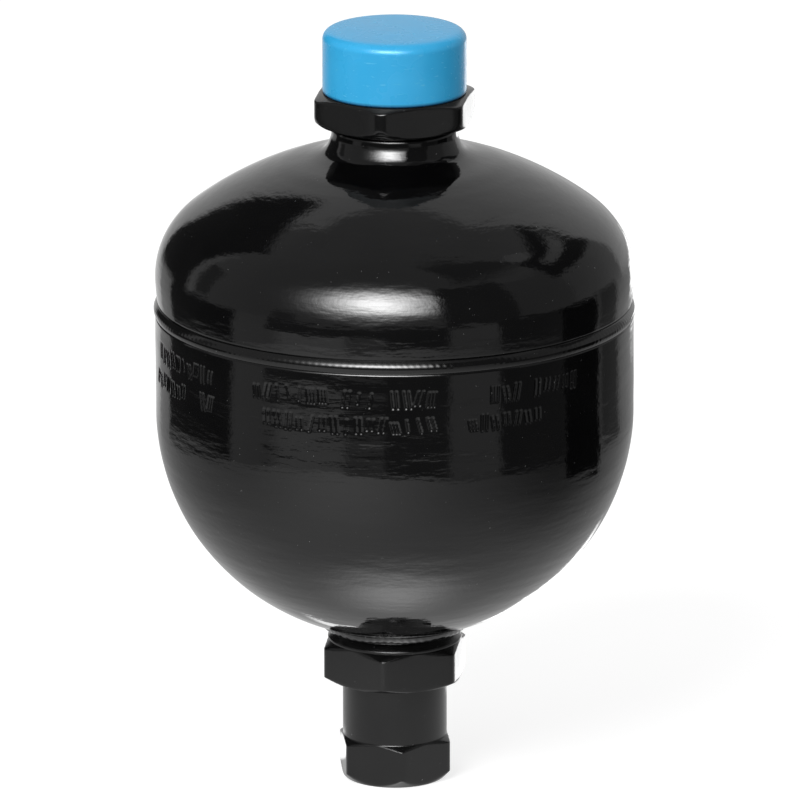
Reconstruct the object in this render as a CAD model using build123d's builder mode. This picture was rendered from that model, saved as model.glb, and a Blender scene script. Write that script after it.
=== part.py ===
from build123d import *
import os
from math import acos, degrees, sqrt

# Bladder accumulator: a welded steel pressure vessel that holds oil round a rubber bag of
# nitrogen.  The oil enters through the port at the bottom, past a sprung poppet that keeps the
# bag from being squeezed out.  The gas enters at the top, through a filling valve inside the
# bag's steel stem, which a large hexagonal nut pulls against the vessel's neck.
#
# Frame: Z is the axis of the vessel, and the end face of the port adapter lies at Z = 0.
# Hexagons are turned about Z from the front, which is -Y.  All sizes are in millimetres.

os.makedirs("parts", exist_ok=True)

# ---------------------------------------------------------------- clearances
assembly_gap = 0.05        # radial gap between pieces that are screwed or pushed together
guide_gap = 0.06           # radial running gap of a sliding stem in its guide
cap_gap = 0.35             # radial gap between the push-on cap and the stem's thread

# ---------------------------------------------------------------- port adapter
adapter_flats = 25.4       # across the flats of the lower hexagon
adapter_corner_r = 14.45   # corners are turned down to this radius
adapter_hex_height = 10.6
adapter_turn = 6.9         # degrees
adapter_face_r = 12.2      # end face inside the bottom chamfer
adapter_chamfer_height = 2.3
adapter_shoulder_rise = 1.1  # height of the cone over the corners, where the hexagon ends
adapter_body_r = 12.6
adapter_body_length = 14.4
adapter_thread_r = 8.19    # tap drill radius of the female M18 x 1.5 thread
adapter_thread_depth = 14.0
thread_mouth = 0.9         # countersink at the mouth of the thread
flow_bore_r = 6.5
adapter_spigot_r = 10.45
adapter_spigot_length = 8.5
spigot_relief_r = 8.8      # counterbore in the spigot's end, below the guide's oil holes
spigot_relief_depth = 2.0

# ---------------------------------------------------------------- port body
port_flats = 32.0
port_corner_r = 18.2
port_hex_height = 9.7
port_turn = -9.4           # degrees
port_chamfer_bottom = 1.2
port_chamfer_top = 1.4
port_boss_r = 16.2         # round shoulder above the hexagon
port_rim_height = 0.6      # straight rim of the shoulder, below its cone
port_weld_r = 14.8         # the shoulder narrows to this where its weld begins
port_boss_height = 2.2
port_neck_r = 13.0         # the part that stands in the hole of the shell
port_neck_stand = 0.4      # how far the neck stands inside the shell
throat_r = 8.5
seat_r = 11.0              # outer radius of the poppet's conical seat
seal_pocket_r = 12.0
seal_pocket_depth = 1.7

# ---------------------------------------------------------------- vessel
shell_r = 57.5
shell_wall = 4.0
bowl_depth = 55.6          # outer depth of the half-ellipse that closes the lower shell
shell_straight = 23.8
port_weld_root = 1.2       # gap that the port weld fills, between shoulder and shell
port_weld_leg = 2.3        # how far the port weld spreads over the bowl
port_weld_crown = 0.8
girth_weld_width = 3.1
girth_weld_crown = 0.65
girth_bevel = 1.1          # height of the bevel on the lower shell's rim
girth_root = 0.6
joggle_inset = 0.45        # the dome is drawn in by this much at its edge
joggle_height = 6.1
spigot_length = 6.5        # backing lip of the dome, inside the lower shell
spigot_wall = 3.0
spigot_gap = 0.1
knuckle_r = 20.0
crown_r = 82.0
neck_r = 15.4
flare_r = 10.0
neck_height = 4.33         # above the pole of the crown
neck_edge = 0.5
neck_bore_r = 11.2
stem_seat_r = 17.0

# ---------------------------------------------------------------- lock nut
nut_flats = 36.0
nut_corner_r = 20.2
nut_turn = -9.8            # degrees
nut_band_r = 15.3
nut_band_height = 0.5
nut_cone_r = 16.5
nut_cone_height = 2.9
nut_side_height = 4.0
nut_top_r = 17.4
nut_top_chamfer = 1.0

# ---------------------------------------------------------------- gas stem
stem_r = 11.0              # M22 thread of the lock nut
stem_flange_r = 16.0
stem_flange_height = 3.0
stem_thread_stand = 4.1    # length of the M22 thread above the lock nut
valve_thread_r = 7.9
valve_thread_length = 5.5
stem_end_chamfer = 0.6
gas_bore_r = 1.6
spring_chamber_r = 4.2
spring_chamber_depth = 7.0
core_r = 5.2               # thread of the valve core
core_depth = 10.5
o_ring_section = 1.86
o_ring_groove_depth = 1.9
o_ring_groove_width = 3.0
o_ring_below_neck = 8.5

# ---------------------------------------------------------------- gas valve
core_recess = 0.4          # the core's top lies this far below the stem's top
gasket_thickness = 0.6
nose_r = 3.6
nose_height = 0.5          # of the core's sealing nose below the gasket
core_bore_r = 1.6
core_guide_length = 2.5
key_slot_width = 1.2
key_slot_depth = 1.4
pin_r = 0.9
pin_head_r = 3.0
pin_head_height = 1.2
pin_seal_r = 2.8
pin_seal_thickness = 1.2
pin_stand = 1.0            # the pin's tip stands this far above the stem's top
pin_tip_chamfer = 0.3
pin_spring_r = 2.4
pin_wire_d = 0.5
pin_coils = 4

# ---------------------------------------------------------------- caps
seal_cap_flats = 19.0
seal_cap_chamfer = 0.8     # height of the cone over the corners, at each end
seal_cap_roof = 1.6
seal_cap_gasket_thickness = 1.6
seal_cap_gasket_width = 2.2
seal_cap_skirt_gap = 0.5
cap_r = 17.25
cap_height = 15.6
cap_wall = 2.0
cap_edge_r = 2.3
cap_foot_edge = 0.3
cap_crown = 0.5            # rise of the crowned top between edge and centre
cap_sleeve_wall = 1.5
cap_sleeve_lift = 1.6      # between the sleeve's lower end and the lock nut
cap_rib_count = 8
cap_rib_width = 1.2
cap_rib_lift = 2.6

# ---------------------------------------------------------------- bladder
bladder_wall = 2.0
bladder_side_gap = 1.8     # inside the dome's backing lip
bladder_gap = 1.0          # below the dome
bladder_shoulder_r = 14.0
bladder_over_poppet = 1.8
bladder_lip_r = 8.0
bladder_lip_thickness = 1.5

# ---------------------------------------------------------------- poppet
poppet_travel = 5.0
poppet_seat_gap = 0.05
poppet_edge_height = 0.6
poppet_dome_rise = 1.6
poppet_stem_r = 2.5
guide_r = 10.4
guide_thickness = 2.5
guide_boss_r = 4.3
guide_boss_above = 2.0
guide_boss_below = 2.0
guide_hole_r = 1.4
guide_hole_count = 6
guide_hole_circle_r = 7.0
stop_nut_flats = 8.0
stop_nut_height = 3.0
stop_nut_chamfer = 0.35
poppet_end_recess = 1.0    # the stem ends this far inside the stop nut
poppet_spring_r = 5.6
poppet_wire_d = 0.8
poppet_coils = 4

# ---------------------------------------------------------------- heights that follow
port_z = adapter_hex_height + adapter_body_length
guide_z = port_z + adapter_spigot_length
guide_top_z = guide_z + guide_thickness
boss_z = port_z + port_hex_height
boss_top_z = boss_z + port_boss_height
bowl_z = boss_top_z + port_weld_root + bowl_depth * sqrt(1 - (port_neck_r / shell_r) ** 2)
inner_r = shell_r - shell_wall
inner_depth = bowl_depth - shell_wall
port_hole_r = port_neck_r + assembly_gap
neck_end_z = bowl_z - inner_depth * sqrt(1 - (port_neck_r / inner_r) ** 2) + port_neck_stand
rim_z = bowl_z + shell_straight
dome_edge_z = rim_z + girth_weld_width
knuckle_z = dome_edge_z + joggle_height
knuckle_centre_r = shell_r - knuckle_r
crown_z = knuckle_z - sqrt((crown_r - knuckle_r) ** 2 - knuckle_centre_r**2)
neck_z = crown_z + crown_r + neck_height
flare_centre_r = neck_r + flare_r
flare_z = crown_z + sqrt((crown_r + flare_r) ** 2 - flare_centre_r**2)
inner_crown_r = crown_r - shell_wall
stem_seat_z = crown_z + sqrt(inner_crown_r**2 - stem_seat_r**2)
flange_z = stem_seat_z - stem_flange_height
nut_top_z = neck_z + nut_band_height + nut_cone_height + nut_side_height + nut_top_chamfer
stem_shoulder_z = nut_top_z + stem_thread_stand
stem_top_z = stem_shoulder_z + valve_thread_length
core_z = stem_top_z - core_depth
chamber_z = core_z - spring_chamber_depth
cap_top_z = nut_top_z + cap_height
seat_z = neck_end_z - (seat_r - throat_r)
poppet_z = seat_z + poppet_travel


def arc_about(centre, start, end):
    """The shorter arc round centre, from start to end."""
    c, a, b = Vector(*centre), Vector(*start), Vector(*end)
    middle = c + ((a - c) + (b - c)).normalized() * (a - c).length
    return ThreePointArc(a, middle, b)


def touch_point(centre, radius, other):
    """Where a circle meets the line from its centre towards another centre."""
    c, o = Vector(*centre), Vector(*other)
    return tuple(c + (o - c).normalized() * radius)[:2]


def turned(*corners, mode=Mode.ADD):
    """Turns a straight-sided outline of (radius, height) corners about the axis."""
    with BuildSketch(Plane.XZ) as outline:
        with BuildLine():
            Polyline(*corners, close=True)
        make_face()
    revolve(outline.sketch, axis=Axis.Z, mode=mode)


def ring(centre_r, centre_z, section_d):
    """A rubber ring of round section."""
    with BuildSketch(Plane.XZ) as section:
        with Locations((centre_r, centre_z)):
            Circle(section_d / 2)
    revolve(section.sketch, axis=Axis.Z)


def hexagon(flats, turn, bottom, top):
    """A hexagonal bar whose first corner is turned from the front by turn degrees."""
    with BuildSketch(Plane.XY.offset(bottom)) as outline:
        RegularPolygon(radius=flats / 2, side_count=6, major_radius=False, rotation=turn - 90)
    extrude(outline.sketch, amount=top - bottom)


def bevel_ends(face_r, corner_r, bottom, top, bottom_rise, top_rise):
    """Turns the corners of a hexagonal bar down to corner_r, and its ends to cones down to face_r."""
    turned(
        (0, bottom),
        (face_r, bottom),
        (corner_r, bottom + bottom_rise),
        (corner_r, top - top_rise),
        (face_r, top),
        (0, top),
        mode=Mode.INTERSECT,
    )


def coil(radius, wire_d, turns, bottom, top):
    """A compression spring between two planes, with its ends ground flat on them."""
    rise = top - bottom - wire_d / 2
    with BuildLine() as path:
        Helix(rise / turns, rise, radius, center=(0, 0, bottom + wire_d / 4))
    with BuildSketch(Plane(path.line @ 0, x_dir=(1, 0, 0), z_dir=path.line % 0)) as section:
        Circle(wire_d / 2)
    sweep(section.sketch, path=path.line, is_frenet=True)
    with BuildSketch(Plane.XY.offset(bottom)) as between_planes:
        Circle(radius + wire_d)
    extrude(between_planes.sketch, amount=top - bottom, mode=Mode.INTERSECT)


# ================================================================ port adapter
with BuildPart() as port_adapter:
    hexagon(adapter_flats, adapter_turn, 0, adapter_hex_height)
    turned(
        (0, 0),
        (adapter_face_r, 0),
        (adapter_corner_r, adapter_chamfer_height),
        (adapter_corner_r, adapter_hex_height - adapter_shoulder_rise),
        (adapter_body_r, adapter_hex_height),
        (0, adapter_hex_height),
        mode=Mode.INTERSECT,
    )
    with BuildSketch(Plane.XY.offset(adapter_hex_height)):
        Circle(adapter_body_r)
    extrude(amount=adapter_body_length)
    with BuildSketch(Plane.XY.offset(port_z)):
        Circle(adapter_spigot_r)
    extrude(amount=adapter_spigot_length)
    turned(
        (0, 0),
        (adapter_thread_r + thread_mouth, 0),
        (adapter_thread_r, thread_mouth),
        (adapter_thread_r, adapter_thread_depth),
        (flow_bore_r, adapter_thread_depth + adapter_thread_r - flow_bore_r),
        (flow_bore_r, guide_z - spigot_relief_depth),
        (spigot_relief_r, guide_z - spigot_relief_depth),
        (spigot_relief_r, guide_z),
        (0, guide_z),
        mode=Mode.SUBTRACT,
    )
port_adapter.part.label = "port_adapter"
export_step(port_adapter.part, "parts/port_adapter.step")

# The seal lies in a pocket at the mouth of the port body's thread.
with BuildPart() as adapter_seal:
    pocket = seal_pocket_r - adapter_spigot_r
    ring(adapter_spigot_r + pocket / 2, port_z + seal_pocket_depth / 2, pocket - assembly_gap)
adapter_seal.part.label = "adapter_seal"
export_step(adapter_seal.part, "parts/adapter_seal.step")

# ================================================================ port body
with BuildPart() as port_body:
    hexagon(port_flats, port_turn, port_z, boss_z)
    bevel_ends(
        port_flats / 2, port_corner_r, port_z, boss_z, port_chamfer_bottom, port_chamfer_top
    )
    turned(
        (0, boss_z),
        (port_boss_r, boss_z),
        (port_boss_r, boss_z + port_rim_height),
        (port_weld_r, boss_top_z),
        (0, boss_top_z),
    )
    with BuildSketch(Plane.XY.offset(boss_top_z)):
        Circle(port_neck_r)
    extrude(amount=neck_end_z - boss_top_z)
    turned(
        (0, port_z),
        (seal_pocket_r, port_z),
        (seal_pocket_r, port_z + seal_pocket_depth),
        (adapter_spigot_r + assembly_gap, port_z + seal_pocket_depth),
        (adapter_spigot_r + assembly_gap, guide_top_z),
        (throat_r, guide_top_z),
        (throat_r, seat_z),
        (seat_r, neck_end_z),
        (0, neck_end_z),
        mode=Mode.SUBTRACT,
    )
port_body.part.label = "port_body"
export_step(port_body.part, "parts/port_body.step")

# ================================================================ poppet valve
with BuildPart() as poppet_guide:
    with BuildSketch(Plane.XY.offset(guide_z)):
        Circle(guide_r)
        with PolarLocations(guide_hole_circle_r, guide_hole_count):
            Circle(guide_hole_r, mode=Mode.SUBTRACT)
    extrude(amount=guide_thickness)
    with BuildSketch(Plane.XY.offset(guide_z - guide_boss_below)):
        Circle(guide_boss_r)
    extrude(amount=guide_boss_below + guide_thickness + guide_boss_above)
    with BuildSketch(Plane.XY.offset(guide_z - guide_boss_below)):
        Circle(poppet_stem_r + guide_gap)
    extrude(amount=guide_boss_below + guide_thickness + guide_boss_above, mode=Mode.SUBTRACT)
poppet_guide.part.label = "poppet_guide"
export_step(poppet_guide.part, "parts/poppet_guide.step")

# The poppet stands open, lifted by its spring.  Its cone keeps the seat's slope of 45 degrees.
stop_z = guide_z - guide_boss_below
cone_r = throat_r - poppet_seat_gap * sqrt(2)
poppet_rim_r = seat_r + poppet_edge_height
rim_foot_z = poppet_z + poppet_rim_r - cone_r
head_top_z = rim_foot_z + poppet_edge_height + poppet_dome_rise
dome_r = (poppet_rim_r**2 + poppet_dome_rise**2) / (2 * poppet_dome_rise)
with BuildPart() as poppet:
    with BuildSketch(Plane.XZ):
        with BuildLine():
            Polyline(
                (0, head_top_z),
                (0, stop_z - stop_nut_height + poppet_end_recess),
                (poppet_stem_r, stop_z - stop_nut_height + poppet_end_recess),
                (poppet_stem_r, poppet_z),
                (cone_r, poppet_z),
                (poppet_rim_r, rim_foot_z),
                (poppet_rim_r, rim_foot_z + poppet_edge_height),
            )
            arc_about(
                (0, head_top_z - dome_r), (poppet_rim_r, head_top_z - poppet_dome_rise), (0, head_top_z)
            )
        make_face()
    revolve(axis=Axis.Z)
poppet.part.label = "poppet"
export_step(poppet.part, "parts/poppet.step")

with BuildPart() as poppet_stop_nut:
    hexagon(stop_nut_flats, 0, stop_z - stop_nut_height, stop_z)
    bevel_ends(
        stop_nut_flats / 2,
        stop_nut_flats / sqrt(3),
        stop_z - stop_nut_height,
        stop_z,
        stop_nut_chamfer,
        stop_nut_chamfer,
    )
    with BuildSketch(Plane.XY.offset(stop_z - stop_nut_height)):
        Circle(poppet_stem_r + assembly_gap)
    extrude(amount=stop_nut_height, mode=Mode.SUBTRACT)
poppet_stop_nut.part.label = "poppet_stop_nut"
export_step(poppet_stop_nut.part, "parts/poppet_stop_nut.step")

with BuildPart() as poppet_spring:
    coil(poppet_spring_r, poppet_wire_d, poppet_coils, guide_top_z, poppet_z)
poppet_spring.part.label = "poppet_spring"
export_step(poppet_spring.part, "parts/poppet_spring.step")

# ================================================================ lower shell
hole_angle = degrees(acos(port_hole_r / shell_r))
inner_hole_angle = degrees(acos(port_hole_r / inner_r))
with BuildPart() as lower_shell:
    with BuildSketch(Plane.XZ):
        with BuildLine():
            outside = EllipticalCenterArc((0, bowl_z), shell_r, bowl_depth, arc_size=-hole_angle)
            inside = EllipticalCenterArc(
                (0, bowl_z), inner_r, inner_depth, arc_size=-inner_hole_angle
            )
            Line(outside @ 1, inside @ 1)
            Polyline(inside @ 0, (inner_r, rim_z + girth_bevel), (shell_r, rim_z), outside @ 0)
        make_face()
    revolve(axis=Axis.Z)
lower_shell.part.label = "lower_shell"
export_step(lower_shell.part, "parts/lower_shell.step")

with BuildPart() as port_weld:
    leg_r = port_boss_r + port_weld_leg
    leg_z = bowl_z - bowl_depth * sqrt(1 - (leg_r / shell_r) ** 2)
    with BuildSketch(Plane.XZ):
        with BuildLine():
            Polyline(
                (port_weld_r, boss_top_z),
                (port_hole_r, boss_top_z),
                (port_hole_r, leg_z),
                (leg_r, leg_z),
            )
            SagittaArc((leg_r, leg_z), (port_weld_r, boss_top_z), port_weld_crown)
        make_face()
        with Locations((0, bowl_z)):
            Ellipse(shell_r, bowl_depth, mode=Mode.SUBTRACT)
    revolve(axis=Axis.Z)
port_weld.part.label = "port_weld"
export_step(port_weld.part, "parts/port_weld.step")

# ================================================================ upper shell and girth weld
# The joggled lip of the dome backs the girth weld from inside the lower shell's rim.
lip_r = inner_r - spigot_gap
root_z = rim_z + girth_bevel
dome_rim = (shell_r - joggle_inset, dome_edge_z)
flare_centre = (flare_centre_r, flare_z)
knuckle_centre = (knuckle_centre_r, knuckle_z)
crown_centre = (0, crown_z)
neck_foot_z = neck_z - neck_edge
flare_top = (flare_centre_r - sqrt(flare_r**2 - (flare_z - neck_foot_z) ** 2), neck_foot_z)
flare_end = touch_point(crown_centre, crown_r, flare_centre)
crown_end = touch_point(crown_centre, crown_r, knuckle_centre)
inner_knuckle_r = knuckle_r - shell_wall
inner_crown_end = touch_point(crown_centre, inner_crown_r, knuckle_centre)
with BuildPart() as upper_shell:
    with BuildSketch(Plane.XZ):
        with BuildLine():
            Polyline(
                (neck_bore_r, stem_seat_z),
                (neck_bore_r, neck_z),
                (flare_top[0] - neck_edge, neck_z),
                flare_top,
            )
            arc_about(flare_centre, flare_top, flare_end)
            arc_about(crown_centre, flare_end, crown_end)
            arc_about(knuckle_centre, crown_end, (shell_r, knuckle_z))
            Polyline(
                (shell_r, knuckle_z),
                dome_rim,
                (lip_r, root_z + girth_root),
                (lip_r, rim_z - spigot_length),
                (lip_r - spigot_wall, rim_z - spigot_length),
                (lip_r - spigot_wall, root_z),
                (inner_r, knuckle_z),
            )
            arc_about(knuckle_centre, (inner_r, knuckle_z), inner_crown_end)
            arc_about(crown_centre, inner_crown_end, (stem_seat_r, stem_seat_z))
            Line((stem_seat_r, stem_seat_z), (neck_bore_r, stem_seat_z))
        make_face()
    revolve(axis=Axis.Z)
upper_shell.part.label = "upper_shell"
export_step(upper_shell.part, "parts/upper_shell.step")

with BuildPart() as girth_weld:
    with BuildSketch(Plane.XZ):
        with BuildLine():
            Polyline(
                dome_rim,
                (lip_r, root_z + girth_root),
                (lip_r, root_z),
                (inner_r, root_z),
                (shell_r, rim_z),
            )
            SagittaArc((shell_r, rim_z), dome_rim, -girth_weld_crown)
        make_face()
    revolve(axis=Axis.Z)
girth_weld.part.label = "girth_weld"
export_step(girth_weld.part, "parts/girth_weld.step")

# ================================================================ bladder
# The bag follows the dome, narrows to pass the joggled lip and ends above the open poppet.
bladder_r = lip_r - spigot_wall - bladder_side_gap
bag_crown_r = inner_crown_r - bladder_gap
shoulder_centre_r = bladder_r - bladder_shoulder_r
shoulder_z = crown_z + sqrt((bag_crown_r - bladder_shoulder_r) ** 2 - shoulder_centre_r**2)
bag_shoulder = (shoulder_centre_r, shoulder_z)
bag_depth = shoulder_z - head_top_z - bladder_over_poppet
lip_z = flange_z - bladder_lip_thickness
bag_rim = (stem_flange_r, crown_z + sqrt(bag_crown_r**2 - stem_flange_r**2))
bag_inner_r = bag_crown_r - bladder_wall
bag_inner_rim = (sqrt(bag_inner_r**2 - (lip_z - crown_z) ** 2), lip_z)
bag_crown_end = touch_point(crown_centre, bag_crown_r, bag_shoulder)
bag_inner_crown_end = touch_point(crown_centre, bag_inner_r, bag_shoulder)
bag_side = (bladder_r, shoulder_z)
bag_inner_side = (bladder_r - bladder_wall, shoulder_z)
with BuildPart() as bladder:
    with BuildSketch(Plane.XZ):
        with BuildLine():
            arc_about(crown_centre, bag_rim, bag_crown_end)
            arc_about(bag_shoulder, bag_crown_end, bag_side)
            EllipticalCenterArc((0, shoulder_z), bladder_r, bag_depth, arc_size=-90)
            Line((0, shoulder_z - bag_depth), (0, shoulder_z - bag_depth + bladder_wall))
            EllipticalCenterArc(
                (0, shoulder_z), bladder_r - bladder_wall, bag_depth - bladder_wall, arc_size=-90
            )
            arc_about(bag_shoulder, bag_inner_side, bag_inner_crown_end)
            arc_about(crown_centre, bag_inner_crown_end, bag_inner_rim)
            Polyline(
                bag_inner_rim,
                (bladder_lip_r, lip_z),
                (bladder_lip_r, flange_z),
                (stem_flange_r, flange_z),
                bag_rim,
            )
        make_face()
    revolve(axis=Axis.Z)
bladder.part.label = "bladder"
export_step(bladder.part, "parts/bladder.step")

# ================================================================ gas stem
groove_z = neck_z - o_ring_below_neck
shank_r = neck_bore_r - assembly_gap
groove_r = shank_r - o_ring_groove_depth
with BuildPart() as gas_stem:
    turned(
        (gas_bore_r, flange_z),
        (stem_flange_r, flange_z),
        (stem_flange_r, stem_seat_z),
        (shank_r, stem_seat_z),
        (shank_r, groove_z),
        (groove_r, groove_z),
        (groove_r, groove_z + o_ring_groove_width),
        (shank_r, groove_z + o_ring_groove_width),
        (shank_r, neck_z),
        (stem_r, neck_z),
        (stem_r, stem_shoulder_z),
        (valve_thread_r, stem_shoulder_z),
        (valve_thread_r, stem_top_z),
        (core_r, stem_top_z),
        (core_r, core_z),
        (spring_chamber_r, core_z),
        (spring_chamber_r, chamber_z),
        (gas_bore_r, chamber_z),
    )
    turning_ends = gas_stem.edges().filter_by(GeomType.CIRCLE).group_by(Axis.Z)
    chamfer(turning_ends[-1].sort_by(SortBy.RADIUS)[-1], stem_end_chamfer)
gas_stem.part.label = "gas_stem"
export_step(gas_stem.part, "parts/gas_stem.step")

with BuildPart() as stem_o_ring:
    ring(groove_r + o_ring_groove_depth / 2, groove_z + o_ring_groove_width / 2, o_ring_section)
stem_o_ring.part.label = "stem_o_ring"
export_step(stem_o_ring.part, "parts/stem_o_ring.step")

# ================================================================ lock nut
cone_top_z = neck_z + nut_band_height + nut_cone_height
with BuildPart() as lock_nut:
    hexagon(nut_flats, nut_turn, neck_z, nut_top_z)
    turned(
        (stem_r + assembly_gap, neck_z),
        (nut_band_r, neck_z),
        (nut_band_r, neck_z + nut_band_height),
        (nut_cone_r, neck_z + nut_band_height),
        (nut_corner_r, cone_top_z),
        (nut_corner_r, cone_top_z + nut_side_height),
        (nut_top_r, nut_top_z),
        (stem_r + assembly_gap, nut_top_z),
        mode=Mode.INTERSECT,
    )
lock_nut.part.label = "lock_nut"
export_step(lock_nut.part, "parts/lock_nut.step")

# ================================================================ gas valve
core_seat_z = core_z + gasket_thickness
core_top_z = stem_top_z - core_recess
nose_z = core_z - nose_height
with BuildPart() as valve_gasket:
    turned(
        (nose_r + assembly_gap, core_z),
        (core_r - assembly_gap, core_z),
        (core_r - assembly_gap, core_seat_z),
        (nose_r + assembly_gap, core_seat_z),
    )
valve_gasket.part.label = "valve_gasket"
export_step(valve_gasket.part, "parts/valve_gasket.step")

with BuildPart() as valve_core:
    turned(
        (core_bore_r, nose_z),
        (nose_r, nose_z),
        (nose_r, core_seat_z),
        (core_r - assembly_gap, core_seat_z),
        (core_r - assembly_gap, core_top_z),
        (pin_r + guide_gap, core_top_z),
        (pin_r + guide_gap, core_top_z - core_guide_length),
        (core_bore_r, core_top_z - core_guide_length),
    )
    with BuildSketch(Plane.XY.offset(core_top_z)):
        Rectangle(2 * core_r, key_slot_width)
    extrude(amount=-key_slot_depth, mode=Mode.SUBTRACT)
valve_core.part.label = "valve_core"
export_step(valve_core.part, "parts/valve_core.step")

seal_z = nose_z - pin_seal_thickness
head_z = seal_z - pin_head_height
with BuildPart() as valve_pin:
    turned(
        (0, head_z),
        (pin_head_r, head_z),
        (pin_head_r, seal_z),
        (pin_r, seal_z),
        (pin_r, stem_top_z + pin_stand),
        (0, stem_top_z + pin_stand),
    )
    chamfer(valve_pin.edges().group_by(Axis.Z)[-1], pin_tip_chamfer)
valve_pin.part.label = "valve_pin"
export_step(valve_pin.part, "parts/valve_pin.step")

with BuildPart() as valve_pin_seal:
    turned(
        (pin_r + assembly_gap / 2, seal_z),
        (pin_seal_r, seal_z),
        (pin_seal_r, nose_z),
        (pin_r + assembly_gap / 2, nose_z),
    )
valve_pin_seal.part.label = "valve_pin_seal"
export_step(valve_pin_seal.part, "parts/valve_pin_seal.step")

with BuildPart() as valve_spring:
    coil(pin_spring_r, pin_wire_d, pin_coils, chamber_z, head_z)
valve_spring.part.label = "valve_spring"
export_step(valve_spring.part, "parts/valve_spring.step")

# ================================================================ seal cap
roof_z = stem_top_z + seal_cap_gasket_thickness
seal_cap_top_z = roof_z + seal_cap_roof
skirt_z = stem_shoulder_z + seal_cap_skirt_gap
seal_cap_inner_r = valve_thread_r + assembly_gap
with BuildPart() as seal_cap:
    hexagon(seal_cap_flats, 0, skirt_z, seal_cap_top_z)
    bevel_ends(
        seal_cap_flats / 2,
        seal_cap_flats / sqrt(3),
        skirt_z,
        seal_cap_top_z,
        seal_cap_chamfer,
        seal_cap_chamfer,
    )
    with BuildSketch(Plane.XY.offset(skirt_z)):
        Circle(seal_cap_inner_r)
    extrude(amount=roof_z - skirt_z, mode=Mode.SUBTRACT)
seal_cap.part.label = "seal_cap"
export_step(seal_cap.part, "parts/seal_cap.step")

with BuildPart() as seal_cap_gasket:
    turned(
        (seal_cap_inner_r - assembly_gap - seal_cap_gasket_width, stem_top_z),
        (seal_cap_inner_r - assembly_gap, stem_top_z),
        (seal_cap_inner_r - assembly_gap, roof_z),
        (seal_cap_inner_r - assembly_gap - seal_cap_gasket_width, roof_z),
    )
seal_cap_gasket.part.label = "seal_cap_gasket"
export_step(seal_cap_gasket.part, "parts/seal_cap_gasket.step")

# ================================================================ protective cap
# A moulded cap: a skirt, and a sleeve over the stem's thread that ribs tie to the skirt.
cap_inner_r = cap_r - cap_wall
sleeve_r = stem_r + cap_gap
cap_roof_z = cap_top_z - cap_wall
sleeve_z = nut_top_z + cap_sleeve_lift
rib_z = nut_top_z + cap_rib_lift
sleeve_outer_r = sleeve_r + cap_sleeve_wall
crown_arc_r = (cap_r**2 + cap_crown**2) / (2 * cap_crown)
with BuildPart() as protective_cap:
    with BuildSketch(Plane.XZ):
        with BuildLine():
            Polyline(
                (0, cap_top_z),
                (0, nut_top_z),
                (cap_r, nut_top_z),
                (cap_r, cap_top_z - cap_crown),
            )
            arc_about((0, cap_top_z - crown_arc_r), (cap_r, cap_top_z - cap_crown), (0, cap_top_z))
        make_face()
    revolve(axis=Axis.Z)
    skirt_face = protective_cap.faces().filter_by(GeomType.CYLINDER)[0]
    skirt_edges = skirt_face.edges().filter_by(GeomType.CIRCLE).sort_by(Axis.Z)
    chamfer(skirt_edges[0], cap_foot_edge)
    skirt_face = protective_cap.faces().filter_by(GeomType.CYLINDER)[0]
    fillet(skirt_face.edges().filter_by(GeomType.CIRCLE).sort_by(Axis.Z)[-1], cap_edge_r)
    with BuildSketch(Plane.XY.offset(nut_top_z)):
        Circle(cap_inner_r)
    extrude(amount=cap_roof_z - nut_top_z, mode=Mode.SUBTRACT)
    with BuildSketch(Plane.XY.offset(sleeve_z)):
        Circle(sleeve_outer_r)
        Circle(sleeve_r, mode=Mode.SUBTRACT)
    extrude(amount=cap_roof_z - sleeve_z)
    with BuildSketch(Plane.XY.offset(rib_z)):
        with PolarLocations((sleeve_outer_r + cap_inner_r) / 2, cap_rib_count):
            Rectangle(cap_inner_r - sleeve_outer_r + cap_sleeve_wall / 2, cap_rib_width)
    extrude(amount=cap_roof_z - rib_z)
protective_cap.part.label = "protective_cap"
export_step(protective_cap.part, "parts/protective_cap.step")
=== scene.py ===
import bpy
import math
import numpy as np
from mathutils import Matrix, Vector


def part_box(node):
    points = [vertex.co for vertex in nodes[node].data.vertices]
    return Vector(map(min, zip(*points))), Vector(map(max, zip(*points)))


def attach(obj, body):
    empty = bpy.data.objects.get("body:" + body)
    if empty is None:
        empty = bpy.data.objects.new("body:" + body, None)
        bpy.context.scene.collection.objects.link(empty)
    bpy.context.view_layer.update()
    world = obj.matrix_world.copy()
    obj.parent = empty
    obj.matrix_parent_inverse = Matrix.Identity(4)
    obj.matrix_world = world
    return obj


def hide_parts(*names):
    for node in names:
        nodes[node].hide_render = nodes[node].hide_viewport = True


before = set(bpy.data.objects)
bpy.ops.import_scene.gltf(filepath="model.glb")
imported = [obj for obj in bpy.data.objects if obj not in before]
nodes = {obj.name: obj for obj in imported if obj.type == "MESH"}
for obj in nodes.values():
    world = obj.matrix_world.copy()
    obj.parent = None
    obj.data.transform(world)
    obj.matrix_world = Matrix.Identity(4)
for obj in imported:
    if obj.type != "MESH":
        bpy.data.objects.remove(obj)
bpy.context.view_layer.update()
MM = 0.001
FULL_TURN = 2 * math.pi
rng = np.random.default_rng(7)

# ---------------------------------------------------------------- sizes, in millimetres and degrees
# Vessel
SHELL_R, SHELL_WALL, SHELL_STRAIGHT = 57.5, 4.0, 23.8
BOWL_DEPTH, PORT_HOLE_R = 55.6, 13.05
KNUCKLE_R, CROWN_R, JOGGLE_INSET, JOGGLE_HEIGHT = 20.0, 82.0, 0.45, 6.1
RIM_BEVEL_WIDTH, RIM_BEVEL_HEIGHT, GIRTH_ROOT_HEIGHT = 1.0, 1.1, 0.6
LIP_R, LIP_WALL = 53.4, 3.0
NECK_TOP_R, NECK_BORE_R, NECK_EDGE, STEM_SEAT_R = 15.1, 11.2, 0.5, 17.0
FIT_GAP = 0.05

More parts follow.
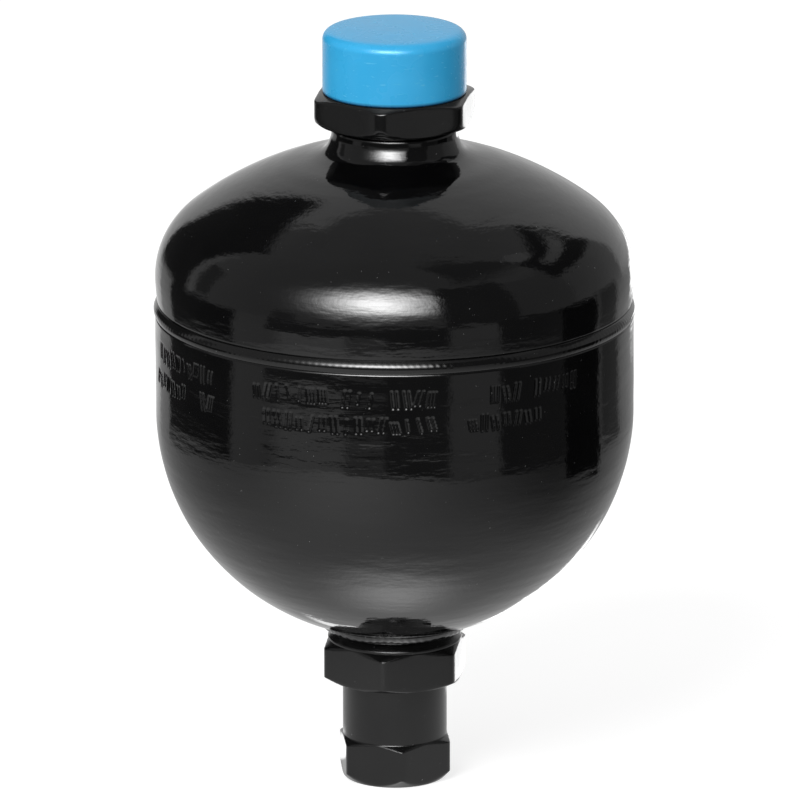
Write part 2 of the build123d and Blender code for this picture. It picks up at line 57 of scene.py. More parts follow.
# Port body, its weld and the adapter
PORT_FLATS, PORT_CORNER_R, PORT_TURN = 32.0, 18.2, -9.4
PORT_CHAMFER_BOTTOM, PORT_CHAMFER_TOP = 1.2, 1.4
PORT_BOSS_R, PORT_BOSS_HEIGHT, PORT_RIM = 16.2, 2.2, 0.6
PORT_NECK_R, THROAT_R, SEAT_R, PORT_BORE_R = 13.0, 8.5, 11.0, 10.5
SEAL_POCKET_R, SEAL_POCKET_DEPTH = 12.0, 1.7
PORT_WELD_R, PORT_WELD_LEG, PORT_WELD_CROWN = 14.8, 2.3, 0.75
ADAPTER_FLATS, ADAPTER_CORNER_R, ADAPTER_TURN = 25.4, 14.45, 6.9
ADAPTER_HEX, ADAPTER_BODY_R, ADAPTER_FACE_R = 10.6, 12.6, 12.2
ADAPTER_CHAMFER, ADAPTER_SHOULDER = 2.3, 1.1
ADAPTER_THREAD_R, ADAPTER_THREAD_END, THREAD_MOUTH, FLOW_BORE_R = 8.19, 14.0, 0.9, 6.5
SPIGOT_R, SPIGOT_LENGTH, RELIEF_R, RELIEF_DEPTH = 10.45, 8.5, 8.8, 2.0
GUIDE_THICKNESS = 2.5

# Lock nut and gas stem
NUT_FLATS, NUT_CORNER_R, NUT_TURN = 36.0, 20.2, -9.8
NUT_BAND_R, NUT_BAND_HEIGHT, NUT_TOP_R, NUT_TOP_CHAMFER = 15.3, 0.5, 17.4, 0.8
NUT_UNDERSIDE = [(16.5, 0.02), (18.7, 0.7), (19.8, 1.7), (NUT_CORNER_R, 2.9)]    # radius, height above band
STEM_R, STEM_FLANGE_R, STEM_FLANGE_HEIGHT = 11.0, 16.0, 3.0
GROOVE_BELOW_NECK, GROOVE_WIDTH, GROOVE_DEPTH = 8.5, 3.0, 1.9
VALVE_THREAD_R, VALVE_THREAD_LENGTH, STEM_END_CHAMFER, STEM_SHOULDER_EDGE = 7.9, 5.5, 0.6, 0.5
GAS_BORE_R, CORE_R, CORE_DEPTH, CHAMBER_R, CHAMBER_DEPTH = 1.6, 5.2, 10.5, 4.2, 7.0

# Seal cap and protective cap
SEAL_CAP_FLATS, SEAL_CAP_CHAMFER, SEAL_CAP_ROOF = 19.0, 0.8, 1.6
SEAL_GASKET_THICKNESS, SEAL_SKIRT_GAP = 1.6, 0.5
CAP_R, CAP_WALL, CAP_EDGE_R, CAP_CROWN, CAP_FOOT_EDGE = 17.25, 2.0, 2.3, 0.5, 0.3
SLEEVE_GAP, SLEEVE_WALL, SLEEVE_LIFT = 0.35, 1.5, 1.6
RIB_COUNT, RIB_WIDTH, RIB_LIFT = 8, 1.2, 2.6


def height(node, end):
    """Lowest (end 0) or highest (end 1) height of a CAD node, in millimetres."""
    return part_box(node)[end].z / MM


RIM_Z = height("girth_weld", 0)
ROOT_Z = RIM_Z + RIM_BEVEL_HEIGHT
ROOT_TOP_Z = ROOT_Z + GIRTH_ROOT_HEIGHT
DOME_EDGE_Z = height("girth_weld", 1)
BOWL_Z = RIM_Z - SHELL_STRAIGHT
KNUCKLE_Z = DOME_EDGE_Z + JOGGLE_HEIGHT
CROWN_Z = KNUCKLE_Z - math.sqrt((CROWN_R - KNUCKLE_R) ** 2 - (SHELL_R - KNUCKLE_R) ** 2)
NECK_Z = height("upper_shell", 1)
LIP_Z = height("upper_shell", 0)
STEM_SEAT_Z = CROWN_Z + math.sqrt((CROWN_R - SHELL_WALL) ** 2 - STEM_SEAT_R**2)
PORT_Z, PORT_END_Z = height("port_body", 0), height("port_body", 1)
SPIGOT_Z = PORT_Z + SPIGOT_LENGTH
GUIDE_TOP_Z = SPIGOT_Z + GUIDE_THICKNESS
BOSS_TOP_Z = height("port_weld", 0)
BOSS_Z = BOSS_TOP_Z - PORT_BOSS_HEIGHT
NUT_TOP_Z = height("lock_nut", 1)
STEM_TOP_Z = height("gas_stem", 1)
SHOULDER_Z = STEM_TOP_Z - VALVE_THREAD_LENGTH


# ---------------------------------------------------------------- mesh helpers
def eased(corners, radius, steps=4):
    """Rounds the corners of an open (r, z) outline.

    Each corner P between neighbours A and B becomes the quadratic curve
    (1-t)^2 (P + e a) + 2 t (1-t) P + t^2 (P + e b), where a and b point to A and B and e is
    the smaller of radius and 0.45 of either side.
    """
    pts = [np.array(c, float) for c in corners]
    out = [pts[0]]
    for before, here, after in zip(pts, pts[1:], pts[2:]):
        a, b = before - here, after - here
        la, lb = np.linalg.norm(a), np.linalg.norm(b)
        e = min(radius, 0.45 * la, 0.45 * lb)
        t = np.linspace(0, 1, steps + 1)[:, None]
        p, q = here + a / la * e, here + b / lb * e
        out.extend((1 - t) ** 2 * p + 2 * t * (1 - t) * here + t**2 * q)
    out.append(pts[-1])
    return np.array(out)


def divided(outline, longest):
    """Adds points along an outline so that no step is longer than longest."""
    out = [outline[0]]
    for a, b in zip(outline, outline[1:]):
        n = max(1, int(math.ceil(np.linalg.norm(b - a) / longest)))
        out.extend(a + (b - a) * k / n for k in range(1, n + 1))
    return np.array(out)


def ring_outline(corners, radius, longest=0.8):
    """A closed outline with eased corners; it starts halfway along its first side."""
    start = (np.array(corners[0], float) + np.array(corners[1], float)) / 2
    outline = eased([start, *corners[1:], corners[0], start], radius)
    return divided(outline, longest)[:-1]


def arc(centre, radius, start_deg, end_deg, steps):
    """Points of a circle in the (r, z) plane, with angles from the r axis."""
    t = np.radians(np.linspace(start_deg, end_deg, steps + 1))
    return np.stack([centre[0] + radius * np.cos(t), centre[1] + radius * np.sin(t)], 1)


def grid_mesh(name, points, loop_rows):
    """A mesh from a grid of points in millimetres, shape (rows, columns, 3).

    Vertex (i, j) is number i * columns + j, and each quad joins (i, j), (i, j+1), (i+1, j+1)
    and (i+1, j).  The grid closes on itself along its columns, and along its rows if
    loop_rows; else a row of zero radius is one point, and its quads are triangles.  The
    faces are turned round if the signed volume comes out negative.
    """
    rows, cols, _ = points.shape
    i = np.arange(rows if loop_rows else rows - 1)[:, None]
    j = np.arange(cols)[None, :]
    i2, j2 = (i + 1) % rows, (j + 1) % cols
    quads = np.stack([i * cols + j, i * cols + j2, i2 * cols + j2, i2 * cols + j], 2).reshape(-1, 4)
    co = points.reshape(-1, 3) * MM
    number = np.arange(rows * cols)
    if not loop_rows:
        for row in (0, rows - 1):
            if np.hypot(points[row, :, 0], points[row, :, 1]).max() < 1e-6:
                number[row * cols:(row + 1) * cols] = row * cols
    quads = number[quads]
    used = np.unique(quads)
    place = np.zeros(rows * cols, int)
    place[used] = np.arange(len(used))
    quads, co = place[quads], co[used]
    a, b, c, d = (co[quads[:, k]] for k in range(4))
    volume = (np.einsum("ij,ij->i", a, np.cross(b, c)) + np.einsum("ij,ij->i", a, np.cross(c, d))).sum()
    if volume < 0:
        quads = quads[:, ::-1]
    faces = [tuple(dict.fromkeys(q)) for q in quads.tolist()]
    mesh = bpy.data.meshes.new(name)
    mesh.from_pydata(co, [], faces)
    mesh.validate()
    mesh.shade_smooth()
    return mesh


def add_piece(name, points, material, body, replaces, loop_rows=True):
    """Puts a grid of points into the scene as a piece that rides on a CAD body."""
    mesh = grid_mesh(name, points, loop_rows)
    piece = bpy.data.objects.new(name, mesh)
    bpy.context.scene.collection.objects.link(piece)
    mesh.materials.append(material)
    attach(piece, body)
    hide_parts(replaces)


def turned_points(outline, angles, radius_at=None):
    """Points of an (r, z) outline turned about Z: x = r sin a, y = -r cos a.

    radius_at(r, z, a) may change the radius over the grid.
    """
    r, z = outline[:, 0][:, None], outline[:, 1][:, None]
    a = np.asarray(angles)[None, :]
    big_r = radius_at(r, z, a) if radius_at else r + 0 * a
    return np.stack([big_r * np.sin(a), -big_r * np.cos(a), z + 0 * a], 2)


def even_angles(count):
    return np.arange(count) * FULL_TURN / count


def soft_step(x, edge, width):
    """0 below edge, 1 above it, by the smooth cubic 3 t^2 - 2 t^3 over width."""
    t = np.clip((x - edge) / width + 0.5, 0, 1)
    return t * t * (3 - 2 * t)


def hexagon_angles(turn_deg):
    """Angles round a hexagon, close together at its corners; half runs from a corner to a flat."""
    half = np.array([0, 0.18, 0.4, 0.7, 1.1, 1.7, 2.6, 4, 6.5, 10, 15, 20, 25, 30])
    one = np.concatenate([half[:-1], 60 - half[1:][::-1]])
    return np.radians(np.sort(np.concatenate([(one + turn_deg + 60 * k) % 360 for k in range(6)])))


HEXAGON_POWER = 110            # the higher, the sharper the corners
OUTSIDE_SHARE = 0.42           # radii under this share of the flats are bores


def hexagon_radius(angle, flats, turn_deg):
    """Distance from the axis to a hexagon with slightly rounded corners.

    1 / r is the power-norm of cos(a - m) / (flats / 2) over the six flats' directions m.
    """
    middles = np.radians(turn_deg + 30 + 60 * np.arange(6))
    share = np.clip(np.cos(angle[..., None] - middles), 0, None) / (flats / 2)
    return (share**HEXAGON_POWER).sum(-1) ** (-1 / HEXAGON_POWER)


def cut_to_hexagon(flats, turn_deg, bottom, top):
    """A radius rule: between bottom and top the outside is also held inside a hexagon.

    1 / held^p = 1 / r^p + 1 / hexagon^p, which rounds the edge where the two surfaces meet.
    """

    def radius_at(r, z, a):
        whole = r + 0 * a
        wall = hexagon_radius(a, flats, turn_deg)
        held = whole * (1 + (whole / wall) ** HEXAGON_POWER) ** (-1 / HEXAGON_POWER)
        inside = (z >= bottom) & (z <= top) & (whole > flats * OUTSIDE_SHARE)
        return np.where(inside, held, whole)

    return radius_at


ROOT_FLAT, THREAD_RUNOUT = 1.15, 0.6    # how far the thread's root is flattened, and its run-out


def thread_cut(z, a, pitch, bottom, top):
    """Depth share 0..1 of a screw thread: a triangle wave of z - pitch a / 2 pi.

    Its roots are flattened, and it runs out at both ends.
    """
    turn_share = (z - pitch * a / FULL_TURN) / pitch
    tooth = 1 - np.abs(2 * (turn_share - np.floor(turn_share)) - 1)
    held = soft_step(z, bottom, THREAD_RUNOUT) * (1 - soft_step(z, top, THREAD_RUNOUT))
    return np.clip(ROOT_FLAT * tooth, 0, 1) * held


# Waves round the axis, phase per millimetre along it, and share of the amount.
WAVES = [(2, 0.05, 1.0), (3, -0.09, 0.9), (5, 0.16, 0.7), (7, -0.24, 0.55), (9, 0.35, 0.4),
         (4, 0.52, 0.3), (6, -0.71, 0.25), (11, 0.12, 0.5), (16, -0.2, 0.3), (3, 0.95, 0.16)]


def waviness(a, z, amount):
    """Slow dents of a spun and polished skin: a sum of amount_k sin(n_k a + m_k z + p_k)."""
    total = 0 * a * z
    for turns, per_mm, share in WAVES:
        phase = rng.uniform(0, FULL_TURN)
        total = total + amount * share * np.sin(turns * a + per_mm * z + phase)
    return total


# ---------------------------------------------------------------- materials
def add_node(tree, kind, inputs=None, **settings):
    """A node whose inputs are numbers or other nodes' outputs."""
    node = tree.nodes.new("ShaderNode" + kind)
    for name, value in settings.items():
        setattr(node, name, value)
    for name, value in (inputs or {}).items():
        if isinstance(value, bpy.types.NodeSocket):
            tree.links.new(value, node.inputs[name])
        else:
            node.inputs[name].default_value = value
    return node


def math_node(tree, operation, a, b=0.0, c=0.0):
    return add_node(tree, "Math", {0: a, 1: b, 2: c}, operation=operation).outputs[0]


def noise(tree, position, scale, detail=2.0):
    wanted = {"Vector": position, "Scale": scale, "Detail": detail, "Roughness": 0.5}
    return add_node(tree, "TexNoise", wanted).outputs["Fac"]


def spread(tree, value, low, high, to_low=0.0, to_high=1.0):
    """Maps low..high to to_low..to_high, held at both ends."""
    wanted = {"Value": value, "From Min": low, "From Max": high, "To Min": to_low, "To Max": to_high}
    return add_node(tree, "MapRange", wanted).outputs["Result"]


def new_group(name, inputs, outputs):
    tree = bpy.data.node_groups.new(name, "ShaderNodeTree")
    for kind, label in inputs:
        tree.interface.new_socket(name=label, in_out="INPUT", socket_type="NodeSocket" + kind)
    for label in outputs:
        tree.interface.new_socket(name=label, in_out="OUTPUT", socket_type="NodeSocketFloat")
    return tree, tree.nodes.new("NodeGroupInput").outputs, tree.nodes.new("NodeGroupOutput").inputs


# Sprayed film: orange peel and level runs along the turning direction (height in mm), dust.
film_group, given, wanted = new_group(
    "sprayed_film", [("Vector", "Position"), ("Float", "Peel"), ("Float", "Streak")],
    ["Height", "Dust", "Haze"])
flat_position = add_node(film_group, "VectorMath", {0: given["Position"], 1: (0.22, 0.22, 1.0)},
                         operation="MULTIPLY").outputs[0]
peel = math_node(film_group, "MULTIPLY", noise(film_group, given["Position"], 900), given["Peel"])
streak = math_node(film_group, "MULTIPLY", noise(film_group, flat_position, 300, 3.0), given["Streak"])
film_group.links.new(math_node(film_group, "ADD", peel, streak), wanted["Height"])
film_group.links.new(spread(film_group, noise(film_group, given["Position"], 1500, 3.0), 0.73, 0.80),
                     wanted["Dust"])
film_group.links.new(spread(film_group, noise(film_group, given["Position"], 70, 4.0), 0.35, 0.7),
                     wanted["Haze"])

# Turned metal: rings that follow radius and height (height in mm), and stained patches.
turning_group, given, wanted = new_group(
    "turning_rings", [("Vector", "Position"), ("Float", "Depth")], ["Height", "Rings", "Stain"])
apart = add_node(turning_group, "SeparateXYZ", {0: given["Position"]})
across = math_node(turning_group, "SQRT", math_node(
    turning_group, "MULTIPLY_ADD", apart.outputs[0], apart.outputs[0],
    math_node(turning_group, "MULTIPLY", apart.outputs[1], apart.outputs[1])))
ring_place = add_node(turning_group, "CombineXYZ", {0: across, 2: apart.outputs[2]}).outputs[0]
rings = noise(turning_group, ring_place, 3200, 1.0)
turning_group.links.new(math_node(turning_group, "MULTIPLY", rings, given["Depth"]), wanted["Height"])
turning_group.links.new(rings, wanted["Rings"])
turning_group.links.new(spread(turning_group, noise(turning_group, given["Position"], 160, 4.0), 0.4, 0.75),
                        wanted["Stain"])

# Moulded stuff: fine grain (height in mm), cloudy patches and short scuffs.
grain_group, given, wanted = new_group(
    "moulded_grain", [("Vector", "Position"), ("Float", "Scale"), ("Float", "Depth")],
    ["Height", "Cloud", "Scuff"])
fine = noise(grain_group, given["Position"], given["Scale"], 3.0)
grain_group.links.new(math_node(grain_group, "MULTIPLY", fine, given["Depth"]), wanted["Height"])
grain_group.links.new(spread(grain_group, noise(grain_group, given["Position"], 110, 3.0), 0.3, 0.7),
                      wanted["Cloud"])
long_position = add_node(grain_group, "VectorMath", {0: given["Position"], 1: (0.3, 1.0, 1.6)},
                         operation="MULTIPLY").outputs[0]
grain_group.links.new(spread(grain_group, noise(grain_group, long_position, 900, 2.0), 0.66, 0.74),
                      wanted["Scuff"])


def new_material(name, group, values, colours, roughness, masks, metallic=0.0):
    """A Principled material whose colour, roughness and relief come from one shared group.

    masks names the two group outputs that mix the second and third colour in and that run
    the roughness between its two limits.
    """
    material = bpy.data.materials.new(name)
    material.use_nodes = True
    tree = material.node_tree
    shader = tree.nodes["Principled BSDF"]
    position = add_node(tree, "TexCoord").outputs["Object"]
    effect = add_node(tree, "Group", node_tree=group)
    tree.links.new(position, effect.inputs["Position"])
    for label, value in values.items():
        effect.inputs[label].default_value = value
    first, second = effect.outputs[masks[0]], effect.outputs[masks[1]]
    colour = [(*c, 1) for c in colours]
    shade = add_node(tree, "Mix", {6: colour[0], 7: colour[1], 0: first}, data_type="RGBA").outputs[2]
    shade = add_node(tree, "Mix", {6: shade, 7: colour[2], 0: second}, data_type="RGBA").outputs[2]
    tree.links.new(shade, shader.inputs["Base Color"])
    rough = spread(tree, first, 0.0, 1.0, roughness[0], roughness[1])
    rough = math_node(tree, "MULTIPLY_ADD", second, roughness[2], rough)
    tree.links.new(rough, shader.inputs["Roughness"])
    shader.inputs["Metallic"].default_value = metallic
    bump = add_node(tree, "Bump", {"Height": effect.outputs["Height"], "Strength": 1.0, "Distance": MM})
    tree.links.new(bump.outputs["Normal"], shader.inputs["Normal"])
    return material


black_paint = new_material(
    "black_enamel", film_group, {"Peel": 0.020, "Streak": 0.15},
    [(0.0018, 0.0018, 0.002), (0.003, 0.003, 0.0032), (0.2, 0.2, 0.2)], (0.055, 0.085, 0.3),
    ("Haze", "Dust"))
bead_paint = new_material(
    "black_enamel_on_weld", film_group, {"Peel": 0.012, "Streak": 0.03},
    [(0.002, 0.002, 0.0022), (0.004, 0.004, 0.004), (0.15, 0.15, 0.15)], (0.09, 0.15, 0.3),
    ("Haze", "Dust"))
satin_paint = new_material(
    "black_enamel_satin", film_group, {"Peel": 0.012, "Streak": 0.012},
    [(0.003, 0.003, 0.0032), (0.006, 0.006, 0.006), (0.2, 0.2, 0.2)], (0.17, 0.25, 0.3),
    ("Haze", "Dust"))
blue_plastic = new_material(
    "blue_polyethylene", grain_group, {"Scale": 1400, "Depth": 0.006},
    [(0.034, 0.46, 0.86), (0.042, 0.49, 0.90), (0.09, 0.56, 0.92)], (0.24, 0.3, 0.12),
    ("Cloud", "Scuff"))
CAP_FOOT_SHADE_BAND = (0.3, 1.0)      # heights above the nut over which the painted shade at the cap's foot fades out
# The foot colour is painted shade: the dark blue where the cap's foot meets the nut.
CAP_FOOT_SHADE_COLOUR, CAP_MIRRORED_COLOUR = (0.006, 0.10, 0.24, 1), (0.2, 0.22, 0.23, 1)


def shade_cap(material):
    """Paints shade on the cap's foot, darkest where it meets the nut, and shows the cap as a dull grey in
    every mirror, such as the dome.
    """
    tree = material.node_tree
    base = tree.nodes["Principled BSDF"].inputs["Base Color"]
    own_colour = base.links[0].from_socket
    position = add_node(tree, "TexCoord").outputs["Object"]
    level = add_node(tree, "SeparateXYZ", {0: position}).outputs[2]
    low, high = ((NUT_TOP_Z + rise) * MM for rise in CAP_FOOT_SHADE_BAND)
    # Painted shade: the colour turns to the dark foot colour towards the nut.
    above_foot_shade = spread(tree, level, low, high)
    colour = add_node(tree, "Mix", {0: above_foot_shade, 6: CAP_FOOT_SHADE_COLOUR, 7: own_colour},
                      data_type="RGBA").outputs[2]
    mirrored = add_node(tree, "LightPath").outputs["Is Glossy Ray"]
    colour = add_node(tree, "Mix", {0: mirrored, 6: colour, 7: CAP_MIRRORED_COLOUR},
                      data_type="RGBA").outputs[2]
    tree.links.new(colour, base)


shade_cap(blue_plastic)
turned_steel = new_material(
    "turned_steel", turning_group, {"Depth": 0.006},
    [(0.56, 0.55, 0.53), (0.50, 0.49, 0.47), (0.38, 0.36, 0.34)], (0.22, 0.36, 0.1),
    ("Rings", "Stain"), metallic=1.0)
spring_steel = new_material(
    "spring_steel", grain_group, {"Scale": 2600, "Depth": 0.004},
    [(0.34, 0.34, 0.35), (0.27, 0.27, 0.28), (0.45, 0.44, 0.42)], (0.24, 0.34, 0.15),
    ("Cloud", "Scuff"), metallic=1.0)
brass = new_material(
    "valve_brass", turning_group, {"Depth": 0.005},
    [(0.74, 0.52, 0.22), (0.66, 0.45, 0.18), (0.42, 0.28, 0.12)], (0.2, 0.32, 0.12),
    ("Rings", "Stain"), metallic=1.0)
seal_rubber = new_material(
    "seal_rubber", grain_group, {"Scale": 2200, "Depth": 0.006},
    [(0.010, 0.010, 0.010), (0.016, 0.016, 0.016), (0.04, 0.04, 0.04)], (0.45, 0.58, 0.1),
    ("Cloud", "Scuff"))
bladder_rubber = new_material(
    "bladder_rubber", grain_group, {"Scale": 1300, "Depth": 0.015},
    [(0.018, 0.018, 0.018), (0.028, 0.027, 0.026), (0.06, 0.06, 0.058)], (0.5, 0.66, 0.1),
    ("Cloud", "Scuff"))


# ---------------------------------------------------------------- stamped marks
MARK_ROWS = [(107.8, 111.9), (101.3, 105.3)]            # low and high end of each line of marks
# First and last azimuth, and line, of each group of marks.
MARK_GROUPS = [(-80, -47.5, 0), (-80, -47.5, 1), (-36, 9.6, 0), (-36, 9.6, 1), (23, 48, 0), (14.5, 40, 1)]
MARK_PITCH, MARK_DEPTH, MARK_HALF_WIDTH, MARK_EDGE, MARK_LEAN = 2.9, 0.2, 0.26, 0.3, 0.6
MARK_LEFT, MARK_RIGHT, MARK_LOW, MARK_HIGH = -81.0, 49.0, 100.4, 112.8    # where the mesh is fine
MARK_STEP = 0.25               # its spacing there, in degrees and in millimetres
# Sideways places of the upright ticks that a character cell can hold.
TICKS = [(0,), (-0.6, 0.6), (-0.5, 0.7), (-0.8, 0, 0.8), (-0.6, 0.6), (), (-0.7, 0.5)]


def stamped(a, z):
    """Depth of the stamped ticks at angle a (radians) and height z.

    Each character cell holds up to three parallel ticks; the depth falls off as a soft step
    of the distance from the tick's middle line, measured on the unrolled skin.
    """
    u = (np.mod(a + math.pi, FULL_TURN) - math.pi) * SHELL_R + 0 * z
    v = z + 0 * u
    depth = 0 * u
    for left, right, line in MARK_GROUPS:
        low, high = MARK_ROWS[line]
        start, end = math.radians(left) * SHELL_R, math.radians(right) * SHELL_R
        for cell in np.arange(start + MARK_PITCH / 2, end, MARK_PITCH):
            lean, share, count = rng.uniform(-0.5, 0.5), rng.uniform(0.6, 1.0), rng.integers(0, len(TICKS))
            half = share * (high - low) / 2
            middle = low + half + rng.uniform(0, 1) * (high - low - 2 * half)
            for offset in TICKS[int(count)]:
                along = np.clip((v - middle) / half, -1, 1)
                sideways = offset + lean * along * half * MARK_LEAN
                gap = np.hypot(u - cell - sideways, v - middle - along * half)
                depth = np.maximum(depth, 1 - soft_step(gap, MARK_HALF_WIDTH, MARK_EDGE))
    return MARK_DEPTH * depth


# ---------------------------------------------------------------- lower shell
INNER_RING_RISE = 8            # one more ring on the inner side, this far above the ellipse
PORT_FADE, RIM_FADE = 8, 2     # the waves die away over these heights
BOWL_WAVES, DOME_WAVES = 0.03, 0.018
BACK_STEP = 2.0                # degrees between columns where nothing is stamped


def ellipse_arc(radius, depth, start_r, steps):
    """Points of the bowl's half ellipse, from start_r out to its full radius."""
    t = np.linspace(-math.acos(start_r / radius), 0, steps + 1)
    return np.stack([radius * np.cos(t), BOWL_Z + depth * np.sin(t)], 1)


inner_r = SHELL_R - SHELL_WALL
bowl_outside = ellipse_arc(SHELL_R, BOWL_DEPTH, PORT_HOLE_R, steps=56)
bowl_inside = ellipse_arc(inner_r, BOWL_DEPTH - SHELL_WALL, PORT_HOLE_R, steps=12)
side_z = np.concatenate([
    np.linspace(BOWL_Z, MARK_LOW, 9)[1:-1],
    np.arange(MARK_LOW, MARK_HIGH, MARK_STEP),
    np.linspace(MARK_HIGH, RIM_Z, 6),
])
side = np.stack([np.full(side_z.shape, SHELL_R), side_z], 1)
inner_side = np.array([
    [SHELL_R - RIM_BEVEL_WIDTH, RIM_Z], [inner_r, RIM_Z], [inner_r, BOWL_Z + INNER_RING_RISE]])
bowl_outline = np.concatenate([bowl_outside, side, inner_side, bowl_inside[::-1]])
outer_rows = len(bowl_outside) + len(side)
dense = np.arange(MARK_LEFT, MARK_RIGHT, MARK_STEP)
bowl_angles = np.radians(np.concatenate([dense, np.arange(MARK_RIGHT, MARK_LEFT + 360, BACK_STEP)]))


def bowl_radius(r, z, a):
    """The outer skin is wavy between the port and the rim, and stamped in a band below the rim."""
    skin = (np.arange(len(r)) < outer_rows)[:, None]
    above_port = soft_step(z, BOSS_TOP_Z + PORT_FADE, PORT_FADE)
    fade = above_port * (1 - soft_step(z, RIM_Z - RIM_FADE / 2, RIM_FADE))
    marked = (z > MARK_LOW) & (z < MARK_HIGH) & skin
    return r + fade * skin * waviness(a, z, BOWL_WAVES) - np.where(marked, stamped(a, z), 0)


add_piece("vessel_bowl", turned_points(bowl_outline, bowl_angles, bowl_radius),
          black_paint, "vessel", "lower_shell")

# ---------------------------------------------------------------- upper shell
NECK_DRAFT, NECK_SIDE, NECK_ROUNDING = 0.05, 2.4, 1.9
NECK_CONE_R, NECK_CONE_DEPTH = 16.6, 5.9       # foot of the cone below the straight side
DISH_R, DISH_DEPTH, DISH_RIM_R, NECK_MEETS_R = 20.0, 7.15, 26.0, 31.0
JOGGLE_BEND_INSET, JOGGLE_BEND_HEIGHT, JOGGLE_END = 0.15, 3, 0.8
DOME_EDGE_FADE, DOME_NECK_FADE = (2, 3), (22, 8)    # middle and width of where the waves start
DOME_COLUMNS = 300
RADIUS_TO_HEIGHT = 1.2         # the dome's waves run along its radius, a little denser than the bowl's

knuckle_centre = (SHELL_R - KNUCKLE_R, KNUCKLE_Z)
crown_meets_deg = math.degrees(math.atan2(KNUCKLE_Z - CROWN_Z, SHELL_R - KNUCKLE_R))


def crown_height(radius):
    return CROWN_Z + math.sqrt(CROWN_R**2 - radius**2)


# The neck's short straight side runs into a cone and that into the shallow dish round it.
neck_skin = eased([
    (NECK_TOP_R, NECK_Z - NECK_EDGE), (NECK_TOP_R + NECK_DRAFT, NECK_Z - NECK_SIDE),
    (NECK_CONE_R, NECK_Z - NECK_CONE_DEPTH), (DISH_R, NECK_Z - DISH_DEPTH),
    (DISH_RIM_R, crown_height(DISH_RIM_R)), (NECK_MEETS_R, crown_height(NECK_MEETS_R))],
    radius=NECK_ROUNDING, steps=8)[::-1]
seat_deg = math.degrees(math.atan2(STEM_SEAT_Z - CROWN_Z, STEM_SEAT_R))
neck_meets_deg = math.degrees(math.acos(NECK_MEETS_R / CROWN_R))
joggle = divided(np.array([
    [SHELL_R - JOGGLE_INSET, DOME_EDGE_Z],
    [SHELL_R - JOGGLE_BEND_INSET, DOME_EDGE_Z + JOGGLE_BEND_HEIGHT],
    [SHELL_R, KNUCKLE_Z - JOGGLE_END]]), longest=0.8)
dome_skin = np.concatenate([
    joggle,
    arc(knuckle_centre, KNUCKLE_R, 0, crown_meets_deg, steps=32),
    arc((0, CROWN_Z), CROWN_R, crown_meets_deg, neck_meets_deg, steps=50)[1:],
    divided(neck_skin, longest=0.6)[1:],
])
dome_outline = np.concatenate([
    dome_skin,
    [[NECK_TOP_R - NECK_EDGE, NECK_Z], [NECK_BORE_R, NECK_Z], [NECK_BORE_R, STEM_SEAT_Z]],
    [[STEM_SEAT_R, STEM_SEAT_Z]],
    arc((0, CROWN_Z), CROWN_R - SHELL_WALL, seat_deg, crown_meets_deg, steps=20)[1:],
    arc(knuckle_centre, KNUCKLE_R - SHELL_WALL, crown_meets_deg, 0, steps=10)[1:],
    [[LIP_R - LIP_WALL, ROOT_Z], [LIP_R - LIP_WALL, LIP_Z], [LIP_R, LIP_Z], [LIP_R, ROOT_TOP_Z]],
])


def dome_radius(r, z, a):
    """The outer skin is wavy between its joggled edge and the neck."""
    skin = (np.arange(len(r)) < len(dome_skin))[:, None]
    fade = soft_step(z - DOME_EDGE_Z, *DOME_EDGE_FADE) * soft_step(r, *DOME_NECK_FADE)
    return r + skin * fade * waviness(a, RADIUS_TO_HEIGHT * r, DOME_WAVES)


add_piece("vessel_dome", turned_points(dome_outline, even_angles(DOME_COLUMNS), dome_radius),
          black_paint, "vessel", "upper_shell")

# ---------------------------------------------------------------- girth weld
BEAD_RISE, BEAD_ROOT_INSET, BEAD_ROWS, GIRTH_COLUMNS = 0.63, 0.6, 17, 1520
RIPPLE_COUNT, RIPPLE_DEPTH = 230, 0.025
RIPPLE_LAG, RIPPLE_DRIFT, DRIFT_TURNS = 1.6, 0.7, 11

share = np.linspace(0, 1, BEAD_ROWS)
bead_face = np.stack([SHELL_R + BEAD_RISE * np.sin(math.pi * share) - JOGGLE_INSET * share,
                      RIM_Z + (DOME_EDGE_Z - RIM_Z) * share], 1)
bead_outline = np.concatenate([
    [[SHELL_R - BEAD_ROOT_INSET, DOME_EDGE_Z], [LIP_R, ROOT_TOP_Z], [LIP_R, ROOT_Z],
     [SHELL_R - RIM_BEVEL_WIDTH, RIM_Z]],
    bead_face,
])


def girth_radius(r, z, a):
    """Ripples: depth sin^2 of n a / 2 + lag (2 s - 1)^2 + drift sin(d a), with s from 0 to 1 up the bead.

    So each ripple is a bow that trails at both edges, and their spacing varies slowly.
    """
    s = np.clip((z - RIM_Z) / (DOME_EDGE_Z - RIM_Z), 0, 1)
    face = (np.arange(len(r)) >= len(bead_outline) - BEAD_ROWS)[:, None]
    lag = RIPPLE_LAG * (2 * s - 1) ** 2 + RIPPLE_DRIFT * np.sin(DRIFT_TURNS * a)
    ripple = np.sin(RIPPLE_COUNT * a / 2 + lag) ** 2
    return r - face * np.sin(math.pi * s) * RIPPLE_DEPTH * ripple


add_piece("girth_bead", turned_points(bead_outline, even_angles(GIRTH_COLUMNS), girth_radius),
          bead_paint, "vessel", "girth_weld")

# ---------------------------------------------------------------- port weld
WELD_ROWS, PORT_WELD_COLUMNS = 15, 480
PORT_RIPPLE_COUNT, PORT_RIPPLE_DEPTH = 29, 0.14
PORT_RIPPLE_DRIFT, PORT_DRIFT_TURNS, PORT_RIPPLE_SLOPE = 0.8, 5, 0.5

